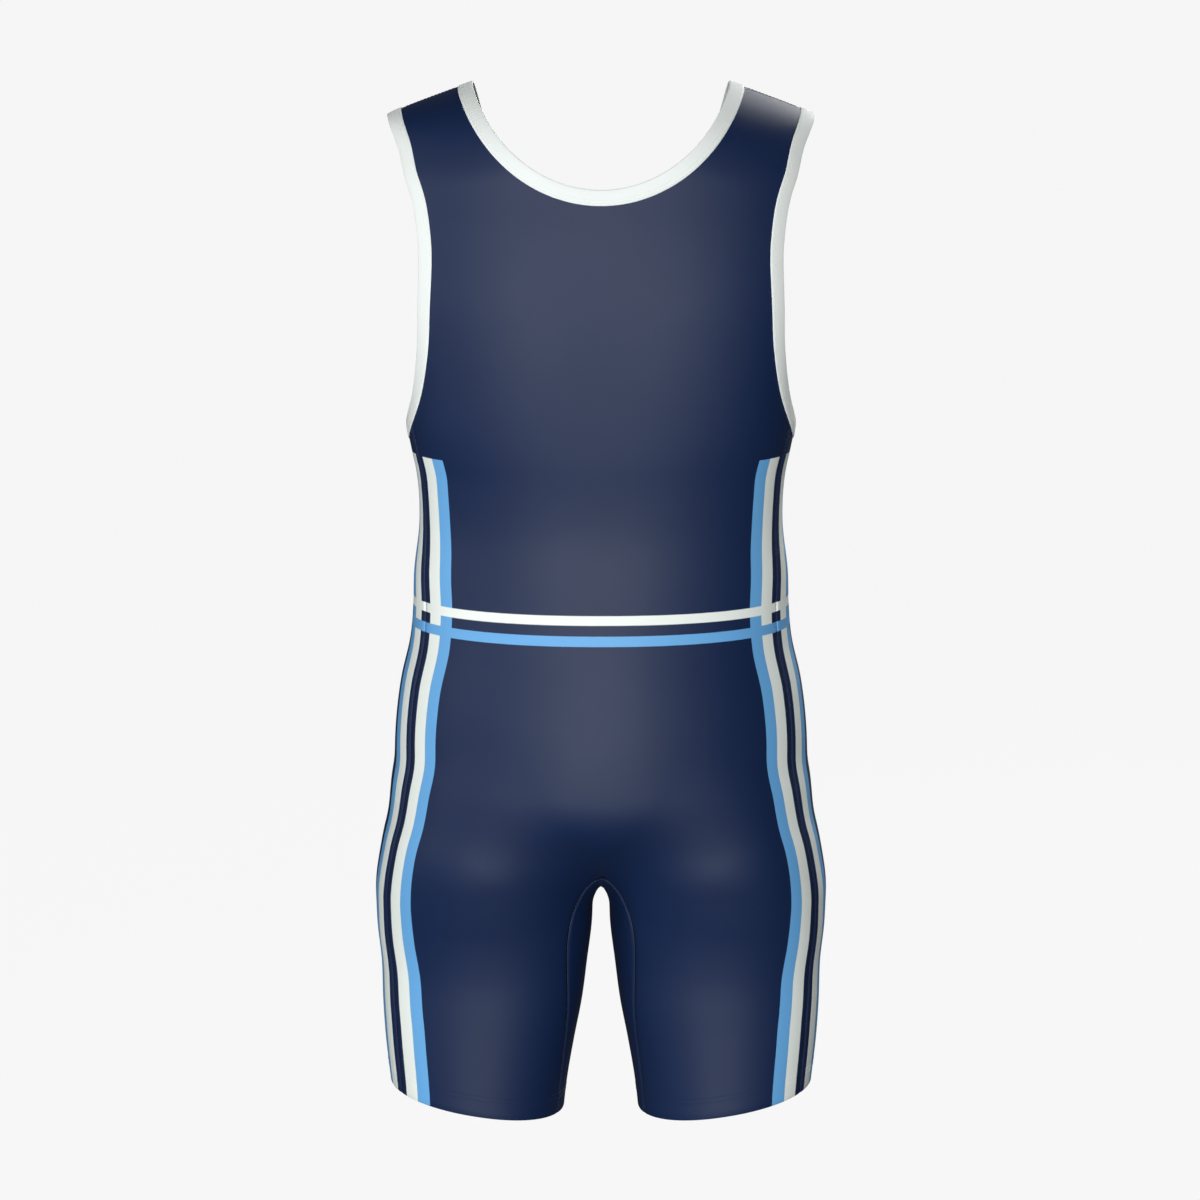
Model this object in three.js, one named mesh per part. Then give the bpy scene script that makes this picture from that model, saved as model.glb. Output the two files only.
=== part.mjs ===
// Wrestling singlet in its worn form with nobody in it: a hollow body of stretch knit, open at
// the neck, the armholes and the legs.
// Millimetres, +Z up, +Y towards the back of the garment, +X towards the wearer's left.
// The origin is the middle of the shoulders, where the wearer carries the garment.

import * as THREE from "three";

// Cloth and seams
const WALL = 1.5;
const SEAM_GAP = 0.3;
const BINDING_WIDTH = 12.5;
const BINDING_PROUD = 0.5;
const BINDING_NOSE = 0.9;

// Sections of the torso, from above the shoulders to below the seat. The half width is at the
// sides, the depths go from the middle of the body to its back and its front. The power is the
// exponent of the section's superellipse: 2 is an ellipse, and more is squarer.
const TORSO = table(["height", "halfWidth", "back", "front", "power"], [
  [60, 205, 76, 74, 2.5],
  [0, 197, 83, 81, 2.5],
  [-30, 190.5, 87, 86, 2.5],
  [-52, 184.4, 90, 91, 2.5],
  [-80, 183.4, 94, 97, 2.6],
  [-120, 182, 100, 105, 2.8],
  [-175, 176.2, 106, 113, 3],
  [-212, 169.6, 106.5, 115, 3],
  [-250, 164.2, 105, 115, 2.9],
  [-282, 162.6, 102.5, 112, 2.7],
  [-304, 158.8, 100, 110, 2.55],
  [-320, 155.5, 97.5, 108, 2.45],
  [-337, 153.5, 95.2, 105, 2.4],
  [-365, 153, 93.5, 101, 2.3],
  [-410, 158, 98.5, 99, 2.2],
  [-440, 159, 105, 99, 2.15],
  [-465, 161.5, 111, 100, 2.1],
  [-500, 169.5, 118, 101, 2.1],
  [-545, 175, 124, 102, 2.1],
  [-600, 175, 125, 100, 2.1],
  [-660, 168, 117, 94, 2.1],
  [-700, 160, 110, 90, 2.1],
]);

// Sections of the left leg. Inner and outer are distances from the garment's centre line.
const LEG = table(["height", "inner", "outer", "back", "front"], [
  [-540, 20, 122, 84, 68],
  [-580, 10, 161, 97, 78],
  [-620, 3, 182, 107, 86],
  [-650, 1.5, 189, 107, 89],
  [-680, 4, 193, 98, 88],
  [-697, 6.8, 192.8, 92, 87],
  [-714, 7.6, 192.2, 86, 86],
  [-749, 11.8, 188.8, 78, 84],
  [-784, 16.3, 188, 76, 82],
  [-818, 22.8, 186, 75.5, 79],
  [-853, 28.8, 182.3, 75.5, 77],
  [-900, 34, 177, 76, 74],
]);

// Exponents of the superellipses of the legs' sections and of the shoulder line
const LEG_POWER = 2.15;
const SHOULDER_POWER = 2.5;

// The shoulders slope down from the neck and round over from back to front. The seat rounds
// under into the crotch. The blends say how softly the legs run into each other and the seat.
const SHOULDER = { neckX: 109, slope: 0.37, round: 85, springWidth: 192, widest: 0.97 };
const SEAT = { top: -580, round: 90 };
const LEG_BLEND = 5;
const SEAT_BLEND = 30;

// Neck edges seen from the front: arcs of ellipses whose centres lie above the shoulder line.
const NECK_HALF_WIDTH = 105.5;
const NECK = {
  back: { low: -79, lift: 59 },
  front: { low: -168, lift: 100 },
};

// Armhole seen from the side: an egg, narrower at the shoulder than under the arm.
const ARMHOLE = { top: -25.5, low: -282.5, egg: 0.057, back: 77.5, front: 84 };

// The gusset is one piece that runs over the crotch and down both inner legs. Its seams lie
// this far behind and before the middle of the leg.
const GUSSET = table(["height", "halfLength"], [
  [-660, 54],
  [-712, 57],
  [-750, 48],
  [-800, 38.5],
  [-890, 29],
]);

// The arch of the crotch turns about a line at the height of the centre.
const CROTCH = { top: -660, centre: -712 };

// The side seams lie this far behind the widest line of the body and the legs.
const SIDE_SEAM = table(["height", "back"], [
  [-262, 44],
  [-304, 42.5],
  [-340, 36],
  [-365, 34.5],
  [-390, 37.5],
  [-430, 43.5],
  [-480, 47.5],
  [-530, 52],
  [-600, 57.5],
  [-660, 54.5],
  [-690, 49],
  [-720, 43.5],
  [-760, 41],
  [-800, 42.5],
  [-850, 43],
  [-890, 41],
]);

// The hems lie in planes that rise a little towards the outside of the leg.
const HEM = { height: -867.6, tilt: 0.16, middle: 104 };

// Rays from inside find the surface. Those of a strap fan out from its foot. Those of the body
// start on a line that runs from the middle of the waist to the middle of the leg.
const STRAP_FOOT = { back: -125, front: -205 };
const WAIST_HEIGHT = -420;
const LEG_HEIGHT = -700;
const LEG_TOP = -640;
const LONGEST_RAY = 260;
const CREST_DEPTH = 30;
const ARMHOLE_RAY = { from: 60, shoulderFrom: 120, shoulderHeight: -60 };

// Rays into the inner legs start half way between them and reach this far.
const GAP_REACH = 62;

// The row that ends under the arm starts this far below it at the centre line, and dips
// below a straight line just before its end. A few rows further down the dip is gone.
const UNDERARM_DROP = { back: 0, front: 50 };
const UNDERARM_DIP = { back: 0, front: 20, rows: 4 };

// The dip grows with this power of the way along its row, and the way left brings it back.
const DIP_POWER = 4;
const DIP_PEAK = DIP_POWER ** DIP_POWER / (DIP_POWER + 1) ** (DIP_POWER + 1);

// Share of the side seam, from underarm to crotch, beside which the crotch arch begins
const ARCH_SHARE = 0.9;

const TOWARD = { back: 1, front: -1 };

// Which way round the edges of the openings run, seen from outside the garment
const NECK_TURN = -1;
const ARMHOLE_TURN = 1;

// Rows and columns of the panels' grids
const ROWS = { neck: { back: 11, front: 12 }, strapFoot: 2, side: { back: 11, front: 12 } };
const TORSO_ROWS = 17;
const ARCH_ROWS = 5;
const LEG_ROWS = 8;
const HALF_COLUMNS = { back: 8, front: 10 };
const GUSSET_COLUMNS = 6;
const FINE_STEPS = 60;
const LOOP_QUARTER = 240;

// Fineness of the search for the surface
const HALVINGS = 40;
const SETTLE_PASSES = 8;
const SLOPE_STEP = 0.05;
const TINY = 1e-9;
const ON_CENTRE = 0.02;

const NAVY = new THREE.MeshStandardMaterial({ color: 0x1f2a4d, roughness: 0.62, metalness: 0 });
const WHITE = new THREE.MeshStandardMaterial({ color: 0xeef3f1, roughness: 0.7, metalness: 0 });

/** Turns rows of numbers into named columns, lowest height first. */
function table(names, rows) {
  const sorted = [...rows].sort((a, b) => a[0] - b[0]);
  const columns = names.map((name, index) => [name, sorted.map((row) => row[index])]);
  return Object.fromEntries(columns);
}

/** Smooth value of a column at a height: cubic Hermite pieces with three-point slopes. */
function valueAt(sections, name, height) {
  const h = sections.height;
  const v = sections[name];
  const last = h.length - 1;
  if (height <= h[0]) return v[0];
  if (height >= h[last]) return v[last];
  let i = 0;
  while (h[i + 1] < height) i += 1;
  const step = h[i + 1] - h[i];
  const t = (height - h[i]) / step;
  const from = slopeAt(h, v, i);
  const to = slopeAt(h, v, i + 1);
  return (1 + 2 * t) * (1 - t) ** 2 * v[i] + t * (1 - t) ** 2 * step * from
    + t * t * (3 - 2 * t) * v[i + 1] + t * t * (t - 1) * step * to;
}

function slopeAt(h, v, i) {
  const last = h.length - 1;
  const secant = (k) => (v[k + 1] - v[k]) / (h[k + 1] - h[k]);
  if (i === 0) return secant(0);
  if (i === last) return secant(last - 1);
  const before = h[i] - h[i - 1];
  const after = h[i + 1] - h[i];
  return (secant(i - 1) * after + secant(i) * before) / (before + after);
}

/** Height from which the shoulder's arch springs, so that its crest is the straight slope. */
function shoulderHeight(x) {
  const share = Math.min(Math.abs(x) / SHOULDER.springWidth, SHOULDER.widest);
  const narrowing = (1 - share ** SHOULDER_POWER) ** (1 / SHOULDER_POWER);
  return SHOULDER.round * (1 - narrowing) - SHOULDER.slope * (Math.abs(x) - SHOULDER.neckX);
}

/** Signed distance, nearly, to the torso: a superellipse with a rounded top and underside. */
function torsoField(x, y, z) {
  const rise = Math.max(z - shoulderHeight(x) + SHOULDER.round, 0);
  const drop = Math.max(SEAT.top - z, 0);
  const depth = valueAt(TORSO, y > 0 ? "back" : "front", z);
  const profile = Math.hypot(y / depth, rise / SHOULDER.round, drop / SEAT.round);
  const across = Math.abs(x) / valueAt(TORSO, "halfWidth", z);
  const power = valueAt(TORSO, "power", z);
  const share = (profile ** power + across ** power) ** (1 / power);
  const reach = Math.hypot(x, y, rise, drop);
  return reach - reach / Math.max(share, TINY);
}

/** Signed distance, nearly, to one leg whose section is a superellipse. */
function legField(x, y, z) {
  const inner = valueAt(LEG, "inner", z);
  const outer = valueAt(LEG, "outer", z);
  const depth = valueAt(LEG, y > 0 ? "back" : "front", z);
  const dx = x - (inner + outer) / 2;
  const across = Math.abs(dx) / ((outer - inner) / 2);
  const share = (across ** LEG_POWER + (Math.abs(y) / depth) ** LEG_POWER) ** (1 / LEG_POWER);
  const reach = Math.hypot(dx, y);
  return reach - reach / Math.max(share, TINY);
}

function smoothMin(a, b, blend) {
  const share = Math.max(blend - Math.abs(a - b), 0) / blend;
  return Math.min(a, b) - share * share * blend / 4;
}

/** Below zero inside the garment's outer surface, above zero outside it. */
function field(x, y, z) {
  const torso = torsoField(x, y, z);
  const legTop = LEG.height[LEG.height.length - 1];
  const pair = smoothMin(legField(x, y, z), legField(-x, y, z), LEG_BLEND);
  return smoothMin(torso, Math.max(pair, z - legTop), SEAT_BLEND);
}

function fieldSlope(p) {
  const e = SLOPE_STEP;
  const rise = (x, y, z) => field(p.x + x, p.y + y, p.z + z) - field(p.x - x, p.y - y, p.z - z);
  return new THREE.Vector3(rise(e, 0, 0), rise(0, e, 0), rise(0, 0, e)).divideScalar(2 * e);
}

function normalAt(p) {
  return fieldSlope(p).normalize();
}

/** Moves a point that is near the surface onto it. */
function settle(p) {
  const point = p.clone();
  for (let pass = 0; pass < SETTLE_PASSES; pass += 1) {
    const slope = fieldSlope(point);
    point.addScaledVector(slope, -field(point.x, point.y, point.z) / slope.lengthSq());
  }
  return point;
}

/** Halves a stretch of a ray until it closes on the surface. */
function crossing(origin, direction, inside, outside) {
  const point = new THREE.Vector3();
  let near = inside;
  let far = outside;
  for (let pass = 0; pass < HALVINGS; pass += 1) {
    const middle = (near + far) / 2;
    point.copy(origin).addScaledVector(direction, middle);
    if (field(point.x, point.y, point.z) < 0) near = middle;
    else far = middle;
  }
  return point;
}

/** Where a ray from inside the body leaves it, in the half of the garment that it starts in. */
function castOut(origin, direction) {
  const unit = direction.clone().normalize();
  const toCentre = unit.x < -TINY ? (origin.x + 1) / -unit.x : LONGEST_RAY;
  return crossing(origin, unit, 0, Math.min(LONGEST_RAY, toCentre));
}

/** Where a ray from the gap between the legs enters the cloth. */
function castIn(origin, direction) {
  return crossing(origin, direction.clone().normalize(), GAP_REACH, 0);
}

/** Lengths along a line of points, from its first point to each of them. */
function lengths(line) {
  const along = [0];
  for (let i = 1; i < line.length; i += 1) {
    along.push(along[i - 1] + line[i].distanceTo(line[i - 1]));
  }
  return along;
}

/** Points at even steps along a line of points. */
function evenly(line, count) {
  const along = lengths(line);
  const total = along[along.length - 1];
  const points = [];
  let i = 0;
  for (let k = 0; k <= count; k += 1) {
    const at = total * k / count;
    while (i < line.length - 2 && along[i + 1] < at) i += 1;
    const share = (at - along[i]) / (along[i + 1] - along[i]);
    points.push(line[i].clone().lerp(line[i + 1], share));
  }
  return points;
}

/** Places in a line, given as its own indices, that lie at even steps along it. */
function evenStations(line, first, last, count) {
  const along = lengths(line.slice(first, last + 1));
  const total = along[along.length - 1];
  const stations = [];
  let i = 0;
  for (let k = 0; k <= count; k += 1) {
    while (i < along.length - 1 && along[i] < total * k / count - TINY) i += 1;
    stations.push(first + i);
  }
  return stations;
}

/** A quarter of the neck edge, from the left shoulder to the centre line. */
function neckQuarter(side) {
  const { low, lift } = NECK[side];
  const reach = lift - low;
  const start = Math.asin(lift / reach);
  const points = [];
  for (let i = 0; i <= LOOP_QUARTER; i += 1) {
    const angle = start + (Math.PI / 2 - start) * (i / LOOP_QUARTER) ** 2;
    const x = i === LOOP_QUARTER ? 0 : NECK_HALF_WIDTH * Math.cos(angle) / Math.cos(start);
    const z = lift - reach * Math.sin(angle);
    const crest = i === 0;
    const origin = new THREE.Vector3(x, 0, crest ? z - CREST_DEPTH : z);
    const direction = crest ? [0, 0, 1] : [0, TOWARD[side], 0];
    points.push(castOut(origin, new THREE.Vector3(...direction)));
  }
  return points;
}

/** The whole neck edge as a closed line: shoulder, back, other shoulder, front. */
function neckLoop() {
  const mirror = (p) => new THREE.Vector3(-p.x, p.y, p.z);
  const back = neckQuarter("back");
  const front = neckQuarter("front");
  const last = LOOP_QUARTER;
  return [
    ...back.slice(0, last),
    ...back.slice(1).reverse().map(mirror),
    ...front.slice(0, last).map(mirror),
    ...front.slice(1).reverse(),
  ];
}

/** The left armhole edge as a closed line: shoulder, back, underarm, front. */
function armholeLoop() {
  const middle = (ARMHOLE.top + ARMHOLE.low) / 2;
  const half = (ARMHOLE.top - ARMHOLE.low) / 2;
  const count = 4 * LOOP_QUARTER;
  const points = [];
  for (let i = 0; i < count; i += 1) {
    const angle = 2 * Math.PI * i / count;
    const depth = Math.sin(angle) > 0 ? ARMHOLE.back : ARMHOLE.front;
    const y = depth * Math.sin(angle) * (1 - ARMHOLE.egg * Math.cos(angle));
    const z = middle + half * Math.cos(angle);
    const from = z > ARMHOLE_RAY.shoulderHeight ? ARMHOLE_RAY.shoulderFrom : ARMHOLE_RAY.from;
    const origin = new THREE.Vector3(from, y, z);
    points.push(castOut(origin, new THREE.Vector3(1, 0, 0)));
  }
  return points;
}

/** A closed line moved sideways over the surface: outwards from the opening that it rings. */
function widened(loop, width, turn) {
  const count = loop.length;
  return loop.map((point, i) => {
    const tangent = loop[(i + 1) % count].clone().sub(loop[(i + count - 1) % count]).normalize();
    const away = normalAt(point).cross(tangent).normalize();
    return settle(point.clone().addScaledVector(away, width * turn));
  });
}

/** x of the line inside the body that its rays start from. */
function bodyMiddle(z) {
  const share = THREE.MathUtils.smoothstep(WAIST_HEIGHT - z, 0, WAIST_HEIGHT - LEG_HEIGHT);
  const height = Math.min(z, LEG_TOP);
  return share * (valueAt(LEG, "inner", height) + valueAt(LEG, "outer", height)) / 2;
}

/** A row over the shoulder strap, between two points of the surface. */
function strapRow(inner, outer, side) {
  const foot = STRAP_FOOT[side];
  const toward = TOWARD[side];
  const angleOf = (p) => Math.atan2(p.z - foot, toward * p.y);
  const line = [];
  for (let i = 0; i <= FINE_STEPS; i += 1) {
    const t = i / FINE_STEPS;
    const angle = THREE.MathUtils.lerp(angleOf(inner), angleOf(outer), t);
    const origin = new THREE.Vector3(THREE.MathUtils.lerp(inner.x, outer.x, t), 0, foot);
    line.push(castOut(origin, new THREE.Vector3(0, toward * Math.cos(angle), Math.sin(angle))));
  }
  return evenly(line, HALF_COLUMNS[side]);
}

/** A ray of the body or the leg: an angle from the back or front towards the side. */
function bodyPoint(height, angle, toward, tilt) {
  const origin = new THREE.Vector3(bodyMiddle(height), 0, height);
  const direction = new THREE.Vector3(Math.sin(angle), toward * Math.cos(angle), tilt * Math.sin(angle));
  return castOut(origin, direction);
}

/** Angle of the ray that meets the side seam, half a seam gap short of it. */
function seamAngle(height, back, toward, tilt = 0) {
  const depth = toward * back + SEAM_GAP / 2;
  let angle = Math.PI / 2;
  for (let pass = 0; pass < SETTLE_PASSES; pass += 1) {
    const point = bodyPoint(height, angle, toward, tilt);
    angle = Math.acos(depth / Math.hypot(point.x - bodyMiddle(height), point.y));
  }
  return angle;
}

/** Height and angle of the side seam's ray. */
function sideEnd(height, toward, tilt = 0) {
  return { height, angle: seamAngle(height, valueAt(SIDE_SEAM, "back", height), toward, tilt) };
}

/** A row round the body from one height and angle to another, with its dip near the end. */
function bodyRow(from, to, side, { tilt = 0, dip = 0 } = {}) {
  const line = [];
  for (let i = 0; i <= FINE_STEPS; i += 1) {
    const t = i / FINE_STEPS;
    const sag = dip / DIP_PEAK * t ** DIP_POWER * (1 - t);
    const height = THREE.MathUtils.lerp(from.height, to.height, t) - sag;
    const angle = THREE.MathUtils.lerp(from.angle, to.angle, t);
    line.push(bodyPoint(height, angle, TOWARD[side], tilt));
  }
  return evenly(line, HALF_COLUMNS[side]);
}

/** Height and angle of the ray that meets a point of the surface. */
function rayTo(point, side, tilt = 0) {
  const middle = bodyMiddle(point.z);
  const angle = Math.atan2(point.x - middle, TOWARD[side] * point.y);
  return { height: point.z - tilt * (point.x - middle), angle };
}

/** Point of the arch over the crotch, at one of its turns and a distance from the middle. */
function archPoint(turn, y) {
  const angle = Math.PI / 2 * turn / ARCH_ROWS;
  const origin = new THREE.Vector3(0, y, CROTCH.centre);
  return castIn(origin, new THREE.Vector3(Math.sin(angle), 0, Math.cos(angle)));
}

/** Half the length of the gusset, back to front, at a turn of the arch. */
function archHalf(turn) {
  const height = THREE.MathUtils.lerp(CROTCH.top, CROTCH.centre, turn / ARCH_ROWS);
  return valueAt(GUSSET, "halfLength", height);
}

/** Planes across the leg, from the crotch to the hem, each with its height and tilt. */
function legPlanes() {
  const planes = [];
  for (let i = 1; i <= LEG_ROWS; i += 1) {
    const share = i / LEG_ROWS;
    const tilt = HEM.tilt * share;
    const level = THREE.MathUtils.lerp(CROTCH.centre, HEM.height, share);
    planes.push({ height: level + tilt * (bodyMiddle(level) - HEM.middle), tilt });
  }
  return planes;
}

/** Point on the inside of the leg at a distance behind or before its middle. */
function innerLegPoint(plane, y) {
  const drop = plane.tilt * bodyMiddle(plane.height);
  const origin = new THREE.Vector3(0, y, plane.height - drop);
  return castIn(origin, new THREE.Vector3(1, 0, plane.tilt));
}

function legHalf(plane) {
  return valueAt(GUSSET, "halfLength", plane.height);
}

/** Rows of the left half of the back or front panel, from the shoulder to the hem. */
function panelRows(side, neckSeam, armholeSeam, stations) {
  const toward = TOWARD[side];
  const half = SEAM_GAP / 2;
  const rows = [];
  const centre = (z) => castOut(new THREE.Vector3(0, 0, z), new THREE.Vector3(0, toward, 0));

  // Strap: neck seam to armhole seam, then centre line to armhole seam
  stations.strap.forEach((station, i) => {
    const onNeck = i <= ROWS.neck[side];
    const neckLow = neckSeam[stations.neck[ROWS.neck[side]]].z;
    const below = (i - ROWS.neck[side]) / ROWS.strapFoot;
    const inner = onNeck ? neckSeam[stations.neck[i]].clone()
      : centre(THREE.MathUtils.lerp(neckLow, STRAP_FOOT[side], below));
    const outer = armholeSeam[station].clone();
    if (i === 0) {
      inner.y = toward * half;
      outer.y = toward * half;
    }
    rows.push(strapRow(inner, outer, side));
  });

  // Chest or shoulder blades: centre line to armhole seam
  const underarm = armholeSeam[stations.side[stations.side.length - 1]].z;
  const underarmStart = underarm - UNDERARM_DROP[side];
  stations.side.slice(1).forEach((station, i) => {
    const share = (i + 1) / ROWS.side[side];
    const inner = centre(THREE.MathUtils.lerp(STRAP_FOOT[side], underarmStart, share));
    const edge = armholeSeam[station];
    const outer = rayTo(edge, side);
    if (share === 1) outer.angle = seamAngle(outer.height, edge.y, toward);
    const dip = UNDERARM_DIP[side] * share ** 4;
    rows.push(bodyRow(rayTo(inner, side), outer, side, { dip }));
  });

  // Torso: centre line to side seam
  const crotch = archPoint(0, toward * (archHalf(0) + half));
  const archSide = THREE.MathUtils.lerp(underarm, CROTCH.centre, ARCH_SHARE);
  for (let i = 1; i <= TORSO_ROWS; i += 1) {
    const share = i / TORSO_ROWS;
    const below = THREE.MathUtils.lerp(underarmStart, crotch.z, share);
    const inner = i === TORSO_ROWS ? crotch : centre(below);
    const height = THREE.MathUtils.lerp(underarm, archSide, share);
    const dip = UNDERARM_DIP[side] * Math.max(1 - i / UNDERARM_DIP.rows, 0);
    rows.push(bodyRow(rayTo(inner, side), sideEnd(height, toward), side, { dip }));
  }

  // Arch over the crotch: gusset seam to side seam
  for (let i = 1; i <= ARCH_ROWS; i += 1) {
    const height = THREE.MathUtils.lerp(archSide, CROTCH.centre, i / ARCH_ROWS);
    const inner = archPoint(i, toward * (archHalf(i) + half));
    rows.push(bodyRow(rayTo(inner, side), sideEnd(height, toward), side));
  }

  // Leg: gusset seam to side seam, down to the hem
  for (const plane of legPlanes()) {
    const inner = innerLegPoint(plane, toward * (legHalf(plane) + half));
    const from = { height: plane.height, angle: rayTo(inner, side, plane.tilt).angle };
    const outer = sideEnd(plane.height, toward, plane.tilt);
    rows.push(bodyRow(from, outer, side, { tilt: plane.tilt }));
  }
  return rows;
}

/** Both halves of a panel as one sheet, joined on the centre line where the rows reach it. */
function panelSheet(rows) {
  const points = [];
  const ids = [1, -1].map((mirror) => rows.map((row) => row.map((point, column) => {
    const onCentre = column === 0 && Math.abs(point.x) < ON_CENTRE;
    if (onCentre) {
      const same = points.findIndex((other) => other.x === 0 && other.z === point.z);
      if (same >= 0) return same;
    }
    points.push(new THREE.Vector3(onCentre ? 0 : mirror * point.x, point.y, point.z));
    return points.length - 1;
  })));
  const faces = [];
  ids.forEach((grid, half) => {
    for (let r = 0; r + 1 < grid.length; r += 1) {
      for (let c = 0; c + 1 < grid[r].length; c += 1) {
        const quad = [grid[r][c], grid[r][c + 1], grid[r + 1][c + 1], grid[r + 1][c]];
        faces.push(half === 0 ? quad : quad.reverse());
      }
    }
  });
  return { points, faces };
}

/** One grid of points as a sheet. */
function gridSheet(grid) {
  const width = grid[0].length;
  const faces = [];
  for (let r = 0; r + 1 < grid.length; r += 1) {
    for (let c = 0; c + 1 < width; c += 1) {
      const first = r * width + c;
      faces.push([first, first + 1, first + width + 1, first + width]);
    }
  }
  return { points: grid.flat(), faces };
}

/** The gusset, from the left hem over the crotch to the right hem, back seam to front seam. */
function gussetSheet() {
  const half = SEAM_GAP / 2;
  const across = (reach, cast) => {
    const row = [];
    for (let c = 0; c <= GUSSET_COLUMNS; c += 1) row.push(cast((1 - 2 * c / GUSSET_COLUMNS) * reach));
    return row;
  };
  const left = [];
  for (const plane of legPlanes().reverse()) {
    left.push(across(legHalf(plane) - half, (y) => innerLegPoint(plane, y)));
  }
  for (let turn = ARCH_ROWS; turn >= 1; turn -= 1) {
    left.push(across(archHalf(turn) - half, (y) => archPoint(turn, y)));
  }
  const middle = across(archHalf(0) - half, (y) => archPoint(0, y));
  middle.forEach((point) => point.setX(0));
  const right = [...left].reverse().map((row) => row.map((p) => new THREE.Vector3(-p.x, p.y, p.z)));
  return gridSheet([...left, middle, ...right]);
}

/** Two triangles for a four-cornered face, cut along its shorter diagonal. */
function halves(points, [a, b, c, d]) {
  const short = points[a].distanceTo(points[c]) < points[b].distanceTo(points[d]);
  return short ? [[a, b, c], [a, c, d]] : [[a, b, d], [b, c, d]];
}

/** A sheet given its thickness: the wall's inner side, and a rim along every free edge. */
function walled({ points, faces }, wall) {
  const count = points.length;
  const inner = points.map((point) => {
    const normal = normalAt(point);
    if (point.x === 0) normal.setX(0).normalize();
    return point.clone().addScaledVector(normal, -wall);
  });
  const corners = [...points, ...inner];
  const outside = faces.flatMap((face) => halves(points, face));
  const inside = outside.map(([a, b, c]) => [count + a, count + c, count + b]);
  const edges = new Map();
  for (const face of faces) {
    face.forEach((from, i) => edges.set(`${from} ${face[(i + 1) % 4]}`, [from, face[(i + 1) % 4]]));
  }
  const free = [...edges.values()].filter(([from, to]) => !edges.has(`${to} ${from}`));
  const rim = free.flatMap(([from, to]) => halves(corners, [to, from, count + from, count + to]));
  return solid(corners, [...outside, ...inside, ...rim]);
}

/** A closed strip of binding: one section repeated round a loop. */
function bindingSolid(loop, stations, turn) {
  const bottom = -WALL - BINDING_PROUD;
  const seamSide = BINDING_WIDTH - SEAM_GAP / 2;
  const middle = (BINDING_NOSE + seamSide) / 2;
  const section = [
    [0, bottom / 3],
    [BINDING_NOSE, BINDING_PROUD],
    [middle, BINDING_PROUD],
    [seamSide, BINDING_PROUD],
    [seamSide, bottom],
    [middle, bottom],
    [BINDING_NOSE, bottom],
  ];
  const lines = new Map();
  for (const [width] of section) {
    if (!lines.has(width)) lines.set(width, widened(loop, width, turn));
  }
  const points = [];
  for (const station of stations) {
    for (const [width, height] of section) {
      const point = lines.get(width)[station];
      points.push(point.clone().addScaledVector(normalAt(point), height));
    }
  }
  const triangles = [];
  const sides = section.length;
  for (let s = 0; s < stations.length; s += 1) {
    const next = (s + 1) % stations.length;
    for (let k = 0; k < sides; k += 1) {
      const after = (k + 1) % sides;
      const face = [s * sides + k, s * sides + after, next * sides + after, next * sides + k];
      triangles.push(...halves(points, face));
    }
  }
  return solid(points, triangles);
}

/** A closed body from points and triangles, turned so that its faces point outwards. */
function solid(points, triangles) {
  let volume = 0;
  for (const [a, b, c] of triangles) {
    volume += points[a].dot(points[b].clone().cross(points[c])) / 6;
  }
  const order = volume > 0 ? triangles : triangles.map(([a, b, c]) => [a, c, b]);
  const geometry = new THREE.BufferGeometry();
  const positions = points.flatMap((p) => [p.x, p.y, p.z]);
  geometry.setAttribute("position", new THREE.Float32BufferAttribute(positions, 3));
  geometry.setIndex(order.flat());
  geometry.computeVertexNormals();
  return geometry;
}

/** Place in the armhole's loop where the side seam meets it. */
function seamStation(armhole) {
  const seamDepth = (point) => valueAt(SIDE_SEAM, "back", point.z);
  return armhole.findIndex((point, i) => i > LOOP_QUARTER && point.y < seamDepth(point));
}

/** Stations where the rows of a panel meet the neck and armhole loops. */
function panelStations(side, neck, armhole) {
  const whole = 4 * LOOP_QUARTER;
  const oriented = side === "back" ? armhole : [armhole[0], ...armhole.slice(1).reverse()];
  const seam = seamStation(armhole);
  const reach = side === "back" ? seam : whole - seam;
  const foot = oriented.findIndex((point, i) => i > 0 && point.z < STRAP_FOOT[side]);
  const flip = (i) => (side === "back" ? i : (whole - i) % whole);
  const neckLine = side === "back" ? neck : [neck[0], ...neck.slice(1).reverse()];
  const strapRows = ROWS.neck[side] + ROWS.strapFoot;
  return {
    neck: evenStations(neckLine, 0, LOOP_QUARTER, ROWS.neck[side]).map(flip),
    strap: evenStations(oriented, 0, foot, strapRows).map(flip),
    side: evenStations(oriented, foot, reach, ROWS.side[side]).map(flip),
  };
}

function named(name, geometry, material) {
  const mesh = new THREE.Mesh(geometry, material);
  mesh.name = name;
  return mesh;
}

/** Mirror image of a solid across the centre plane. */
function mirrored(geometry) {
  const copy = geometry.clone();
  const position = copy.getAttribute("position");
  const index = copy.getIndex();
  for (let i = 0; i < position.count; i += 1) position.setX(i, -position.getX(i));
  for (let i = 0; i < index.count; i += 3) {
    const second = index.getX(i + 1);
    index.setX(i + 1, index.getX(i + 2));
    index.setX(i + 2, second);
  }
  copy.computeVertexNormals();
  return copy;
}

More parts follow.
